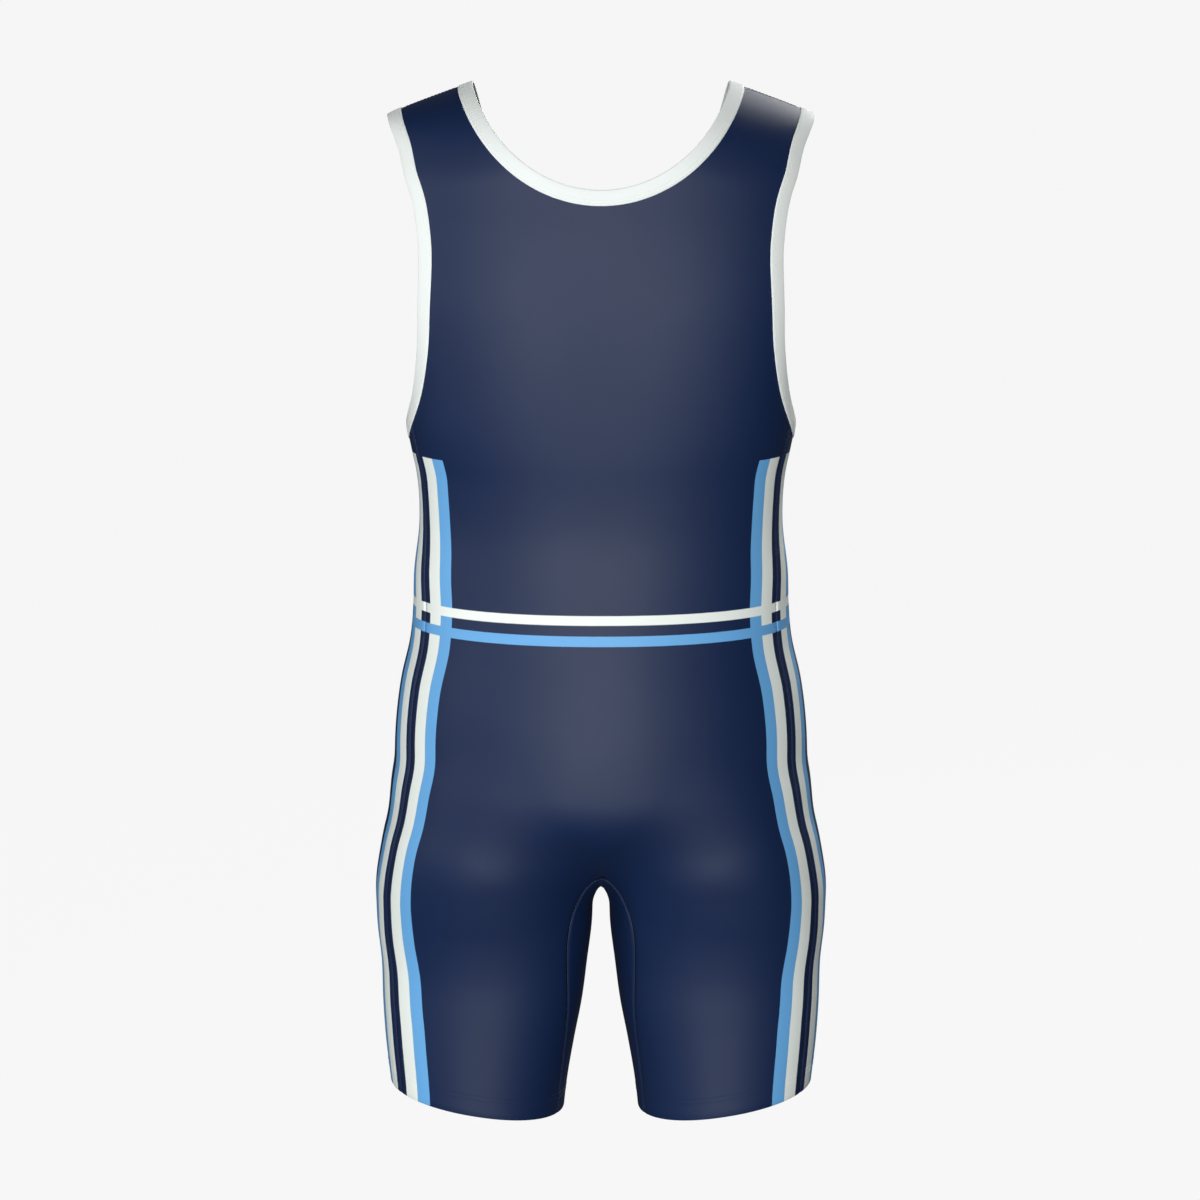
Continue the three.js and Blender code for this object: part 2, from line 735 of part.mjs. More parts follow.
function singlet() {
  const seamWidth = BINDING_WIDTH + SEAM_GAP / 2;
  const neck = neckLoop();
  const armhole = armholeLoop();
  const neckSeam = widened(neck, seamWidth, NECK_TURN);
  const armholeSeam = widened(armhole, seamWidth, ARMHOLE_TURN);
  const back = panelStations("back", neckSeam, armholeSeam);
  const front = panelStations("front", neckSeam, armholeSeam);

  const armholeStations = [...new Set([...back.strap, ...back.side, ...front.side, ...front.strap])];
  armholeStations.sort((a, b) => a - b);
  const leftNeck = [...new Set([...back.neck, ...front.neck])];
  const whole = 4 * LOOP_QUARTER;
  const rightNeck = leftNeck.map((i) => (2 * LOOP_QUARTER - i + whole) % whole);
  const neckStations = [...new Set([...leftNeck, ...rightNeck])].sort((a, b) => a - b);

  const garment = new THREE.Group();
  const backRows = panelRows("back", neckSeam, armholeSeam, back);
  const frontRows = panelRows("front", neckSeam, armholeSeam, front);
  const armholeBinding = bindingSolid(armhole, armholeStations, ARMHOLE_TURN);
  garment.add(named("back_panel", walled(panelSheet(backRows), WALL), NAVY));
  garment.add(named("front_panel", walled(panelSheet(frontRows), WALL), NAVY));
  garment.add(named("crotch_gusset", walled(gussetSheet(), WALL), NAVY));
  garment.add(named("neck_binding", bindingSolid(neck, neckStations, NECK_TURN), WHITE));
  garment.add(named("armhole_binding_left", armholeBinding, WHITE));
  garment.add(named("armhole_binding_right", mirrored(armholeBinding), WHITE));
  return garment;
}

export default singlet();
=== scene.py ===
# %% [markdown]
# # A wrestling singlet in its worn form
#
# A singlet is one garment of stretch knit, cut as a back, a front and a strip between the legs.
# It has no fastening: the wearer steps in through the neck and the knit pulls itself smooth. What
# is modelled here is that smooth, filled-out shape with nobody in it, so every opening stays open
# and the inside shows.
#
# The lesson goes from the form to the cloth, then to the edges and the threads, and ends with the
# finishes, the light and the camera.

import bpy
import numpy as np
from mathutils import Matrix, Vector


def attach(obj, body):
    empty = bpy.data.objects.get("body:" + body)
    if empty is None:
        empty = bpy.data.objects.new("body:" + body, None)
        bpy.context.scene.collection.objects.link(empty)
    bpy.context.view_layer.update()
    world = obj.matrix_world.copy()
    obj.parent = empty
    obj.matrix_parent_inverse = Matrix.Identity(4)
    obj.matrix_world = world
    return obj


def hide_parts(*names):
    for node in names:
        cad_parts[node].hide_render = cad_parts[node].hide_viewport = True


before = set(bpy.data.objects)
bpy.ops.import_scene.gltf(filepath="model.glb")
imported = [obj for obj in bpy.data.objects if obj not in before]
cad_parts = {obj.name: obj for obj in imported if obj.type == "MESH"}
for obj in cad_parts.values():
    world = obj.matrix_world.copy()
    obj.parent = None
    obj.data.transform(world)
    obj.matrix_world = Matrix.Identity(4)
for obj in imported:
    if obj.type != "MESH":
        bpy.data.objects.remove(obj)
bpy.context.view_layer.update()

print("nodes:", ", ".join(sorted(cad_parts)))

# %% [markdown]
# ## The form that the cloth stretches over
#
# A tight garment has the shape of a general figure: a torso and two legs. It could be sculpted by
# hand, but a formula can be measured and repeated. Here each height has a rounded section, called
# a superellipse, whose width and depths come from a short table. The sections run smoothly into
# each other, and the torso and the legs melt together where they meet. Sizes are millimetres until
# a mesh is made.

# %% Tables of sections
MM = 0.001


def table(names, rows):
    """Turns rows of numbers into named columns, lowest height first."""
    ordered = np.array(sorted(rows), dtype=float)
    return dict(zip(names.split(), ordered.T))


TORSO = table("height half_width back front power", [
    (60, 205, 76, 74, 2.5),
    (0, 197, 83, 81, 2.5),
    (-30, 190.5, 87, 86, 2.5),
    (-52, 184.4, 90, 91, 2.5),
    (-80, 183.4, 94, 97, 2.6),
    (-120, 182, 100, 105, 2.8),
    (-175, 176.2, 106, 113, 3),
    (-212, 169.6, 106.5, 115, 3),
    (-250, 164.2, 105, 115, 2.9),
    (-282, 162.6, 102.5, 112, 2.7),
    (-304, 158.8, 100, 110, 2.55),
    (-320, 155.5, 97.5, 108, 2.45),
    (-337, 153.5, 95.2, 105, 2.4),
    (-365, 153, 93.5, 101, 2.3),
    (-410, 158, 98.5, 99, 2.2),
    (-440, 159, 105, 99, 2.15),
    (-465, 161.5, 111, 100, 2.1),
    (-500, 169.5, 118, 101, 2.1),
    (-545, 175, 124, 102, 2.1),
    (-600, 175, 125, 100, 2.1),
    (-660, 168, 117, 94, 2.1),
    (-700, 160, 110, 90, 2.1),
])
LEG = table("height inner outer back front", [
    (-540, 20, 122, 84, 68),
    (-580, 10, 161, 97, 78),
    (-620, 3, 182, 107, 86),
    (-650, 1.5, 189, 107, 89),
    (-680, 4, 193, 98, 88),
    (-697, 6.8, 192.8, 92, 87),
    (-714, 7.6, 192.2, 86, 86),
    (-749, 11.8, 188.8, 78, 84),
    (-784, 16.3, 188, 76, 82),
    (-818, 22.8, 186, 75.5, 79),
    (-853, 28.8, 182.3, 75.5, 77),
    (-900, 34, 177, 76, 74),
])
GUSSET = table("height half_length", [
    (-660, 54),
    (-712, 57),
    (-750, 48),
    (-800, 38.5),
    (-890, 29),
])
SIDE_SEAM = table("height back", [
    (-262, 44),
    (-304, 42.5),
    (-340, 36),
    (-365, 34.5),
    (-390, 37.5),
    (-430, 43.5),
    (-480, 47.5),
    (-530, 52),
    (-600, 57.5),
    (-660, 54.5),
    (-690, 49),
    (-720, 43.5),
    (-760, 41),
    (-800, 42.5),
    (-850, 43),
    (-890, 41),
])


def value_at(sections, name, height):
    """Smooth column value: cubic pieces whose slopes come from each row's two neighbours."""
    h, v = sections["height"], sections[name]
    z = np.clip(height, h[0], h[-1])
    step = np.diff(h)
    secant = np.diff(v) / step
    slope = np.concatenate([secant[:1], np.zeros(len(h) - 2), secant[-1:]])
    slope[1:-1] = (secant[:-1] * step[1:] + secant[1:] * step[:-1]) / (step[1:] + step[:-1])
    i = np.clip(np.searchsorted(h, z) - 1, 0, len(step) - 1)
    t = (z - h[i]) / step[i]
    rise = t * (1 - t) ** 2 * slope[i] + t * t * (t - 1) * slope[i + 1]
    return (1 + 2 * t) * (1 - t) ** 2 * v[i] + t * t * (3 - 2 * t) * v[i + 1] + step[i] * rise


print("hips", 2 * value_at(TORSO, "half_width", -580), "mm wide")

# %% The form as a field
LEG_POWER = 2.15
SHOULDER_POWER = 2.5
SHOULDER = dict(neck_x=109, slope=0.37, round=85, spring_width=192, widest=0.97)
SEAT = dict(top=-580, round=90)
LEG_BLEND = 5
SEAT_BLEND = 30
SLOPE_STEP = 0.05


def torso_field(x, y, z):
    """Distance, nearly, to a superellipse whose top is a sloping arch and whose foot is round."""
    share = np.minimum(np.abs(x) / SHOULDER["spring_width"], SHOULDER["widest"])
    narrowing = (1 - share ** SHOULDER_POWER) ** (1 / SHOULDER_POWER)
    spring = SHOULDER["round"] * (1 - narrowing) - SHOULDER["slope"] * (np.abs(x) - SHOULDER["neck_x"])
    rise = np.maximum(z - spring + SHOULDER["round"], 0)
    drop = np.maximum(SEAT["top"] - z, 0)
    depth = np.where(y > 0, value_at(TORSO, "back", z), value_at(TORSO, "front", z))
    profile = np.sqrt((y / depth) ** 2 + (rise / SHOULDER["round"]) ** 2 + (drop / SEAT["round"]) ** 2)
    across = np.abs(x) / value_at(TORSO, "half_width", z)
    power = value_at(TORSO, "power", z)
    whole = (profile ** power + across ** power) ** (1 / power)
    reach = np.sqrt(x * x + y * y + rise * rise + drop * drop)
    return reach - reach / np.maximum(whole, 1e-9)


def leg_field(x, y, z):
    """Distance, nearly, to one leg, a superellipse at every height."""
    inner, outer = value_at(LEG, "inner", z), value_at(LEG, "outer", z)
    depth = np.where(y > 0, value_at(LEG, "back", z), value_at(LEG, "front", z))
    dx = x - (inner + outer) / 2
    across = np.abs(dx) / ((outer - inner) / 2)
    whole = (across ** LEG_POWER + (np.abs(y) / depth) ** LEG_POWER) ** (1 / LEG_POWER)
    reach = np.hypot(dx, y)
    return reach - reach / np.maximum(whole, 1e-9)


def smooth_min(a, b, blend):
    """The smaller of two distances, rounded off where they are nearly the same."""
    share = np.maximum(blend - np.abs(a - b), 0) / blend
    return np.minimum(a, b) - share * share * blend / 4


def field(points):
    """Below zero inside the cloth's outer surface, above zero outside it."""
    x, y, z = points[..., 0], points[..., 1], points[..., 2]
    pair = smooth_min(leg_field(x, y, z), leg_field(-x, y, z), LEG_BLEND)
    legs = np.maximum(pair, z - LEG["height"][-1])
    return smooth_min(torso_field(x, y, z), legs, SEAT_BLEND)


def field_slope(points):
    """Difference of the field between two near points, along each axis."""
    steps = np.eye(3) * SLOPE_STEP
    rises = [field(points + step) - field(points - step) for step in steps]
    return np.stack(rises, axis=-1) / (2 * SLOPE_STEP)


def unit(vectors):
    return vectors / np.maximum(np.linalg.norm(vectors, axis=-1, keepdims=True), 1e-12)


def normals_at(points):
    return unit(field_slope(points))


def settled(points, passes=2):
    """Points that are near the surface, moved onto it along the field's slope."""
    for _ in range(passes):
        slope = field_slope(points)
        points = points - slope * (field(points) / np.sum(slope * slope, axis=-1))[..., None]
    return points


# %% Rays that find the surface
LONGEST_RAY = 260
GAP_REACH = 62
HALVINGS = 18


def crossing(origin, direction, inside, outside):
    """Halves each stretch of ray, between a place inside and one outside, until it closes."""
    for _ in range(HALVINGS):
        middle = (inside + outside) / 2
        within = field(origin + direction * middle[..., None]) < 0
        inside = np.where(within, middle, inside)
        outside = np.where(within, outside, middle)
    return origin + direction * ((inside + outside) / 2)[..., None]


def cast_out(origin, direction):
    """Where rays from inside the body leave it, each in the half that it starts in."""
    origin, direction = np.broadcast_arrays(origin, unit(direction))
    inward = np.minimum(direction[..., 0], -1e-9)
    to_centre = np.where(direction[..., 0] < -1e-9, (origin[..., 0] + 1) / -inward, LONGEST_RAY)
    far = np.minimum(to_centre, LONGEST_RAY)
    return crossing(origin, direction, np.zeros(far.shape), far)


def cast_in(origin, direction):
    """Where rays from the gap between the legs enter the cloth."""
    origin, direction = np.broadcast_arrays(origin, unit(direction))
    far = np.full(direction.shape[:-1], float(GAP_REACH))
    return crossing(origin, direction, far, np.zeros(far.shape))


def xyz(x, y, z):
    return np.stack(np.broadcast_arrays(*[np.asarray(v, dtype=float) for v in (x, y, z)]), axis=-1)


waist = cast_out(xyz(0, 0, -365), xyz([1, 0, 0], [0, 1, -1], 0))
print("waist reaches", np.round(np.abs(waist).max(axis=0)[:2], 1), "mm")

# %% [markdown]
# ## The edges of the openings
#
# The neck and the armholes are cut lines. Seen from the front the neck is an arc, low at the back
# and lower at the front, and seen from the side an armhole is an egg. Each line is drawn flat and
# cast onto the form, so the same line trims the cloth and guides its binding. A line can be moved
# sideways over the surface by a width, which gives the stitching line beside it.

# %% Neck and armhole lines
TOWARD = dict(back=1, front=-1)
NECK_HALF_WIDTH = 105.5
NECK = dict(back=dict(low=-79, lift=59), front=dict(low=-168, lift=100))
ARMHOLE = dict(top=-25.5, low=-282.5, egg=0.057, back=77.5, front=84)
ARMHOLE_RAY = dict(start=60, shoulder_start=120, shoulder_height=-60)
CREST_DEPTH = 30
LOOP_QUARTER = 400
NECK_TURN = -1
ARMHOLE_TURN = 1


def neck_quarter(side):
    """A quarter of the neck edge: an ellipse's arc, from the left shoulder to the centre line."""
    low, lift = NECK[side]["low"], NECK[side]["lift"]
    reach = lift - low
    start = np.arcsin(lift / reach)
    share = np.linspace(0, 1, LOOP_QUARTER + 1)
    angle = start + (np.pi / 2 - start) * share ** 2
    x = NECK_HALF_WIDTH * np.cos(angle) / np.cos(start)
    z = lift - reach * np.sin(angle)
    x[-1] = 0
    crest = share == 0
    origin = xyz(x, 0, z - CREST_DEPTH * crest)
    return cast_out(origin, xyz(0, TOWARD[side] * ~crest, crest))


def neck_loop():
    """The whole neck edge: shoulder, back, other shoulder, front."""
    back, front = neck_quarter("back"), neck_quarter("front")
    mirror = np.array([-1, 1, 1])
    return np.concatenate([back[:-1], (back * mirror)[:0:-1], (front * mirror)[:-1], front[:0:-1]])


def armhole_loop():
    """The left armhole edge: an egg seen from the side: shoulder, back, underarm, front."""
    angle = np.linspace(0, 2 * np.pi, 4 * LOOP_QUARTER, endpoint=False)
    depth = np.where(np.sin(angle) > 0, ARMHOLE["back"], ARMHOLE["front"])
    y = depth * np.sin(angle) * (1 - ARMHOLE["egg"] * np.cos(angle))
    half = (ARMHOLE["top"] - ARMHOLE["low"]) / 2
    z = ARMHOLE["low"] + half * (1 + np.cos(angle))
    above = z > ARMHOLE_RAY["shoulder_height"]
    start = np.where(above, ARMHOLE_RAY["shoulder_start"], ARMHOLE_RAY["start"])
    return cast_out(xyz(start, y, z), xyz(1, 0, 0))


def widened(loop, width, turn):
    """A closed line moved over the surface, square to itself, away from its opening."""
    tangent = unit(np.roll(loop, -1, axis=0) - np.roll(loop, 1, axis=0))
    away = unit(np.cross(normals_at(loop), tangent))
    return settled(loop + away * width * turn)


def step_lengths(points, axis=0):
    """Length of each step from a point to its neighbour along one way of a line or grid."""
    return np.linalg.norm(np.diff(points, axis=axis), axis=-1)


def length_along(line):
    """Distance along a line of points, from its first point to each of them."""
    return np.concatenate([[0], np.cumsum(step_lengths(line))])


def points_along(line, count):
    """A line of points again, at even steps."""
    along = length_along(line)
    wanted = np.linspace(0, along[-1], count + 1)
    return np.stack([np.interp(wanted, along, line[:, k]) for k in range(3)], axis=-1)


NECK_EDGE = neck_loop()
ARMHOLE_EDGE = armhole_loop()
for name, edge in (("neck", NECK_EDGE), ("armhole", ARMHOLE_EDGE)):
    print(name, "edge", round(length_along(edge)[-1]), "mm")

# %% [markdown]
# ## The rows of a panel
#
# Each half of the back and the front is a grid: rows run round the body, and columns run from the
# shoulder down to the hem. A row's two ends lie on the lines where the real piece is cut: the neck
# or the centre line on one side, and the armhole or the side seam on the other. Between its ends
# the row follows rays from inside the body, so the cloth lies exactly on the form. Down the legs
# the rows end on the seam of the gusset, and the last one lies in the plane of the hem.

# %% Where the rows lie
STRAP_FOOT = dict(back=-125, front=-205)
WAIST_HEIGHT = -420
LEG_HEIGHT = -700
LEG_TOP = -640
UNDERARM_DROP = dict(back=0, front=50)
UNDERARM_DIP = dict(back=0, front=20)
DIP_DEPTH = 90
DIP_POWER = 4
DIP_PEAK = DIP_POWER ** DIP_POWER / (DIP_POWER + 1) ** (DIP_POWER + 1)
ARCH_SHARE = 0.9
CROTCH = dict(top=-660, centre=-712)
HEM = dict(height=-867.6, tilt=0.16, middle=104)
SEAM_GAP = 0.1
FINENESS = 4
ROWS = dict(
    neck=dict(back=11, front=12),
    strap_foot=2,
    side=dict(back=11, front=12),
    torso=17,
    arch=5,
    leg=8,
)
COLUMNS = dict(back=11, front=15)
FINE_STEPS = 90


def body_middle(z):
    """x of the line inside the body that rays start from: the centre, then the leg's middle."""
    t = np.clip((WAIST_HEIGHT - z) / (WAIST_HEIGHT - LEG_HEIGHT), 0, 1)
    z = np.minimum(z, LEG_TOP)
    return t * t * (3 - 2 * t) * (value_at(LEG, "inner", z) + value_at(LEG, "outer", z)) / 2


def body_points(height, angle, toward, tilt=0):
    """Surface points on rays at an angle from the back, or the front, towards the side."""
    direction = xyz(np.sin(angle), toward * np.cos(angle), tilt * np.sin(angle))
    return cast_out(xyz(body_middle(height), 0, height), direction)


def seam_angle(height, back, toward, tilt=0):
    """Angle of the ray to the side seam: the arccosine of its depth over the ray's reach."""
    depth = toward * back + SEAM_GAP / 2
    angle = np.full(np.shape(height), np.pi / 2)
    for _ in range(6):
        point = body_points(height, angle, toward, tilt)
        angle = np.arccos(depth / np.hypot(point[..., 0] - body_middle(height), point[..., 1]))
    return angle


def ray_to(points, side):
    """Height and angle of the rays that meet points of the surface."""
    middle = body_middle(points[..., 2])
    return points[..., 2], np.arctan2(points[..., 0] - middle, TOWARD[side] * points[..., 1])


def evenly(rows, count):
    """Each row's points again, at even steps along the row."""
    return np.array([points_along(row, count) for row in rows])


def body_rows(start, end, side, tilt=0, dip=0):
    """Rows round the body from one height and angle to another, dipping before the end."""
    t = np.linspace(0, 1, FINE_STEPS + 1)
    tilt, dip = np.reshape(tilt, (-1, 1)), np.reshape(dip, (-1, 1))
    sag = dip * t ** DIP_POWER * (1 - t) / DIP_PEAK
    height = start[0][:, None] * (1 - t) + end[0][:, None] * t - sag
    angle = start[1][:, None] * (1 - t) + end[1][:, None] * t
    return evenly(body_points(height, angle, TOWARD[side], tilt), COLUMNS[side] * FINENESS)


def strap_rows(inner, outer, side):
    """Rows over the strap: rays fan out from its foot, from one edge's angle to the other's."""
    toward, foot = TOWARD[side], STRAP_FOOT[side]
    t = np.linspace(0, 1, FINE_STEPS + 1)
    first = np.arctan2(inner[:, 2] - foot, toward * inner[:, 1])[:, None]
    last = np.arctan2(outer[:, 2] - foot, toward * outer[:, 1])[:, None]
    angle = first * (1 - t) + last * t
    x = inner[:, :1] * (1 - t) + outer[:, :1] * t
    rows = cast_out(xyz(x, 0, foot), xyz(0, toward * np.cos(angle), np.sin(angle)))
    return evenly(rows, COLUMNS[side] * FINENESS)


def centre_line(z, side):
    return cast_out(xyz(0, 0, z), xyz(0, TOWARD[side], 0))


def arch_points(share, y):
    """Points over the crotch: rays that turn from straight up to straight into the leg."""
    angle = np.pi / 2 * share
    return cast_in(xyz(0, y, CROTCH["centre"]), xyz(np.sin(angle), 0, np.cos(angle)))


def arch_half(share):
    return value_at(GUSSET, "half_length", CROTCH["top"] + (CROTCH["centre"] - CROTCH["top"]) * share)


def leg_planes():
    """Height and tilt of the rows down the leg, ending in the plane of the hem."""
    share = np.arange(1, ROWS["leg"] * FINENESS + 1) / (ROWS["leg"] * FINENESS)
    level = CROTCH["centre"] + (HEM["height"] - CROTCH["centre"]) * share
    tilt = HEM["tilt"] * share
    return level + tilt * (body_middle(level) - HEM["middle"]), tilt


def inner_leg_points(height, tilt, y):
    drop = tilt * body_middle(height)
    return cast_in(xyz(0, y, height - drop), xyz(1, 0, tilt))


# %% The rows of one half panel
BINDING_WIDTH = 12.5
CLOTH_IN_FOLD = 8.5


def cut_lines(side):
    """Neck and armhole lines that the panel is cut to, each from shoulder to centre or side."""
    tuck = BINDING_WIDTH - CLOTH_IN_FOLD
    neck = widened(NECK_EDGE, tuck, NECK_TURN)
    armhole = widened(ARMHOLE_EDGE, tuck, ARMHOLE_TURN)
    behind = armhole[:, 1] < value_at(SIDE_SEAM, "back", armhole[:, 2])
    seam = LOOP_QUARTER + np.argmax(behind[LOOP_QUARTER:])
    if side == "front":
        neck = np.roll(neck[::-1], 1, axis=0)
        armhole = np.roll(armhole[::-1], 1, axis=0)
        seam = len(armhole) - seam
    return neck[:LOOP_QUARTER + 1], armhole[:seam + 1]


def half_panel(side):
    """The left half of a panel as rows of points, with where the strap and the torso end."""
    toward, half = TOWARD[side], SEAM_GAP / 2
    neck, armhole = cut_lines(side)
    foot = np.argmax(armhole[:, 2] < STRAP_FOOT[side])
    on_neck = ROWS["neck"][side] * FINENESS
    below_neck = ROWS["strap_foot"] * FINENESS

    inner = points_along(neck, on_neck)
    below = np.linspace(inner[-1, 2], STRAP_FOOT[side], below_neck + 1)[1:]
    inner = np.concatenate([inner, centre_line(below, side)])
    outer = points_along(armhole[:foot + 1], on_neck + below_neck)
    inner[0, 1] = outer[0, 1] = toward * half
    strap = strap_rows(inner, outer, side)

    count = ROWS["side"][side] * FINENESS
    share = np.arange(1, count + 1) / count
    edge = points_along(armhole[foot:], count)[1:]
    start_height = edge[-1, 2] - UNDERARM_DROP[side]
    start = centre_line(STRAP_FOOT[side] + (start_height - STRAP_FOOT[side]) * share, side)
    height, angle = ray_to(edge, side)
    angle[-1] = seam_angle(height[-1], edge[-1, 1], toward)
    dip = UNDERARM_DIP[side] * share ** 4
    beside_arm = body_rows(ray_to(start, side), (height, angle), side, dip=dip)

    count = ROWS["torso"] * FINENESS
    share = np.arange(1, count + 1) / count
    crotch = arch_points(0, toward * (arch_half(0) + half))
    arch_top = edge[-1, 2] + (CROTCH["centre"] - edge[-1, 2]) * ARCH_SHARE
    start = centre_line(start_height + (crotch[2] - start_height) * share, side)
    start[-1] = crotch
    height = edge[-1, 2] + (arch_top - edge[-1, 2]) * share
    angle = seam_angle(height, value_at(SIDE_SEAM, "back", height), toward)
    dip = UNDERARM_DIP[side] * np.maximum(1 - (edge[-1, 2] - height) / DIP_DEPTH, 0)
    torso = body_rows(ray_to(start, side), (height, angle), side, dip=dip)

    count = ROWS["arch"] * FINENESS
    share = np.arange(1, count + 1) / count
    start = arch_points(share, toward * (arch_half(share) + half))
    height = arch_top + (CROTCH["centre"] - arch_top) * share
    angle = seam_angle(height, value_at(SIDE_SEAM, "back", height), toward)
    arch = body_rows(ray_to(start, side), (height, angle), side)

    height, tilt = leg_planes()
    gusset_half = value_at(GUSSET, "half_length", height)
    start = inner_leg_points(height, tilt, toward * (gusset_half + half))
    start_angle = np.arctan2(start[:, 0] - body_middle(start[:, 2]), toward * start[:, 1])
    angle = seam_angle(height, value_at(SIDE_SEAM, "back", height), toward, tilt)
    leg = body_rows((height, start_angle), (height, angle), side, tilt=tilt)

    rows = np.concatenate([strap, beside_arm, torso, arch, leg])
    rows[:, 1:-1] = settled(rows[:, 1:-1])
    rows[on_neck:-len(arch) - len(leg), 0, 0] = 0
    return rows, dict(strap=len(strap), joined=len(rows) - len(arch) - len(leg))


HALVES = {side: half_panel(side) for side in ("back", "front")}
for side, (rows, _) in HALVES.items():
    print(side, "half panel:", rows.shape[0], "rows of", rows.shape[1])

# %% [markdown]
# ## From grid to cloth
#
# A half grid becomes a whole panel by its mirror image. Points that both halves share, down the
# centre line, are made one, so the cloth is continuous there. At the bottom the cloth turns under:
# it rolls through a half circle and runs a little way up the inside, as a stitched hem does. The
# thickness comes last, from a Solidify modifier, so that it stays easy to change.
#
# Two maps are kept on the cloth. One gives the distance across and down each piece, for the knit.
# The other gives the distance round the body from the side seam, for the printed stripes.

# %% Hem, mirror and mesh
CLOTH = 0.7
HEM_ROLL = 0.78
HEM_ROLL_STEPS = 5
HEM_ROWS = 5
GROOVE = dict(depth=0.3, width=2.2)
CHART = dict(low=-900, high=-270, rows=127, columns=240)
mirror = np.array([-1.0, 1.0, 1.0])


def turned_hem(rows):
    """Rows added under the last one: a half circle in, then up the inside of the cloth."""
    last = rows[-1]
    normal = normals_at(last)
    down = unit(rows[-1] - rows[-2])
    angle = np.linspace(0, np.pi, HEM_ROLL_STEPS + 1)[1:, None, None]
    roll = last + down * HEM_ROLL * np.sin(angle) - normal * HEM_ROLL * (1 - np.cos(angle))
    inside = rows[-2:-2 - HEM_ROWS:-1]
    inside = inside - normals_at(inside) * 2 * HEM_ROLL
    return np.concatenate([rows, roll, inside])


def round_body():
    """A chart of the distance round the body from the side seam, by height and angle."""
    heights = np.linspace(CHART["low"], CHART["high"], CHART["rows"])
    angles = np.linspace(-np.pi / 2, 1.5 * np.pi, CHART["columns"])
    points = body_points(heights[:, None], angles[None, :], 1)
    along = np.cumsum(step_lengths(points, axis=1), axis=1)
    along = np.concatenate([np.zeros((len(heights), 1)), along], axis=1)
    seam = seam_angle(heights, value_at(SIDE_SEAM, "back", heights), 1)
    at_seam = [np.interp(angle, angles, row) for angle, row in zip(seam, along)]
    return heights, angles, np.array(at_seam)[:, None] - along


SEAM_CHART = round_body()


def from_side_seam(points):
    """Distance round the body from the side seam, above zero towards the back."""
    heights, angles, chart = SEAM_CHART
    z = np.clip(points[..., 2], heights[0], heights[-1])
    angle = np.arctan2(np.abs(points[..., 0]) - body_middle(z), points[..., 1])
    angle = np.where(angle < angles[0], angle + 2 * np.pi, angle)
    row = (z - heights[0]) / (heights[1] - heights[0])
    column = (angle - angles[0]) / (angles[1] - angles[0])
    r = np.clip(row.astype(int), 0, len(heights) - 2)
    c = np.clip(column.astype(int), 0, len(angles) - 2)
    s, t = row - r, column - c
    upper = chart[r, c] * (1 - t) + chart[r, c + 1] * t
    lower = chart[r + 1, c] * (1 - t) + chart[r + 1, c + 1] * t
    return upper * (1 - s) + lower * s


def knit_map(rows, spans):
    """Distance across each row and down each column, kept continuous from strap to leg."""
    across = np.cumsum(np.linalg.norm(np.diff(rows, axis=1, prepend=rows[:, :1]), axis=2), axis=1)
    start = rows[:, 0, 0].copy()
    joined = spans["joined"]
    start[joined:] = across[joined - 1, -1] - across[joined:, -1]
    sunk = np.diff(rows, axis=0, prepend=rows[:1])[..., 1:]
    return np.stack([across + start[:, None], np.cumsum(np.linalg.norm(sunk, axis=2), axis=0)], axis=-1)


def grid_faces(height, width, first=0, flip=False):
    """The four corners of every cell of a grid."""
    ids = first + np.arange(height * width).reshape(height, width)
    corners = [ids[:-1, :-1], ids[:-1, 1:], ids[1:, 1:], ids[1:, :-1]]
    faces = np.stack(corners, axis=-1).reshape(-1, 4)
    return faces[:, ::-1] if flip else faces


def make_mesh(name, points, faces, maps=None):
    """A smooth mesh object at the origin, in metres, from arrays in millimetres."""
    mesh = bpy.data.meshes.new(name)
    mesh.vertices.add(len(points))
    mesh.vertices.foreach_set("co", (points * MM).astype(np.float32).ravel())
    mesh.loops.add(faces.size)
    mesh.loops.foreach_set("vertex_index", faces.astype(np.int32).ravel())
    mesh.polygons.add(len(faces))
    mesh.polygons.foreach_set("loop_start", np.arange(0, faces.size, faces.shape[1], dtype=np.int32))
    for title, values in (maps or {}).items():
        layer = mesh.uv_layers.new(name=title)
        layer.data.foreach_set("uv", (values[faces.ravel()] * MM).astype(np.float32).ravel())
    mesh.update(calc_edges=True)
    mesh.validate()
    mesh.shade_smooth()
    piece = bpy.data.objects.new(name, mesh)
    bpy.context.scene.collection.objects.link(piece)
    return piece


def merged(points, faces, maps):
    """Points at the same place made one. Each face keeps its own values of the maps."""
    keys = np.round(points, 3) + 0.0
    _, first, back = np.unique(keys, axis=0, return_index=True, return_inverse=True)
    return points[first], back.reshape(-1)[faces], {k: v[first] for k, v in maps.items()}


def outward(points, faces):
    """Faces turned round, all together, if most of them look into the body."""
    corners = points[faces[:, :3]]
    facing = np.cross(corners[:, 1] - corners[:, 0], corners[:, 2] - corners[:, 0])
    inside = np.sum(facing * field_slope(corners[:, 0])) < 0
    return faces[:, ::-1] if inside else faces


print("side seam chart:", SEAM_CHART[2].shape)

# %% Back and front panels


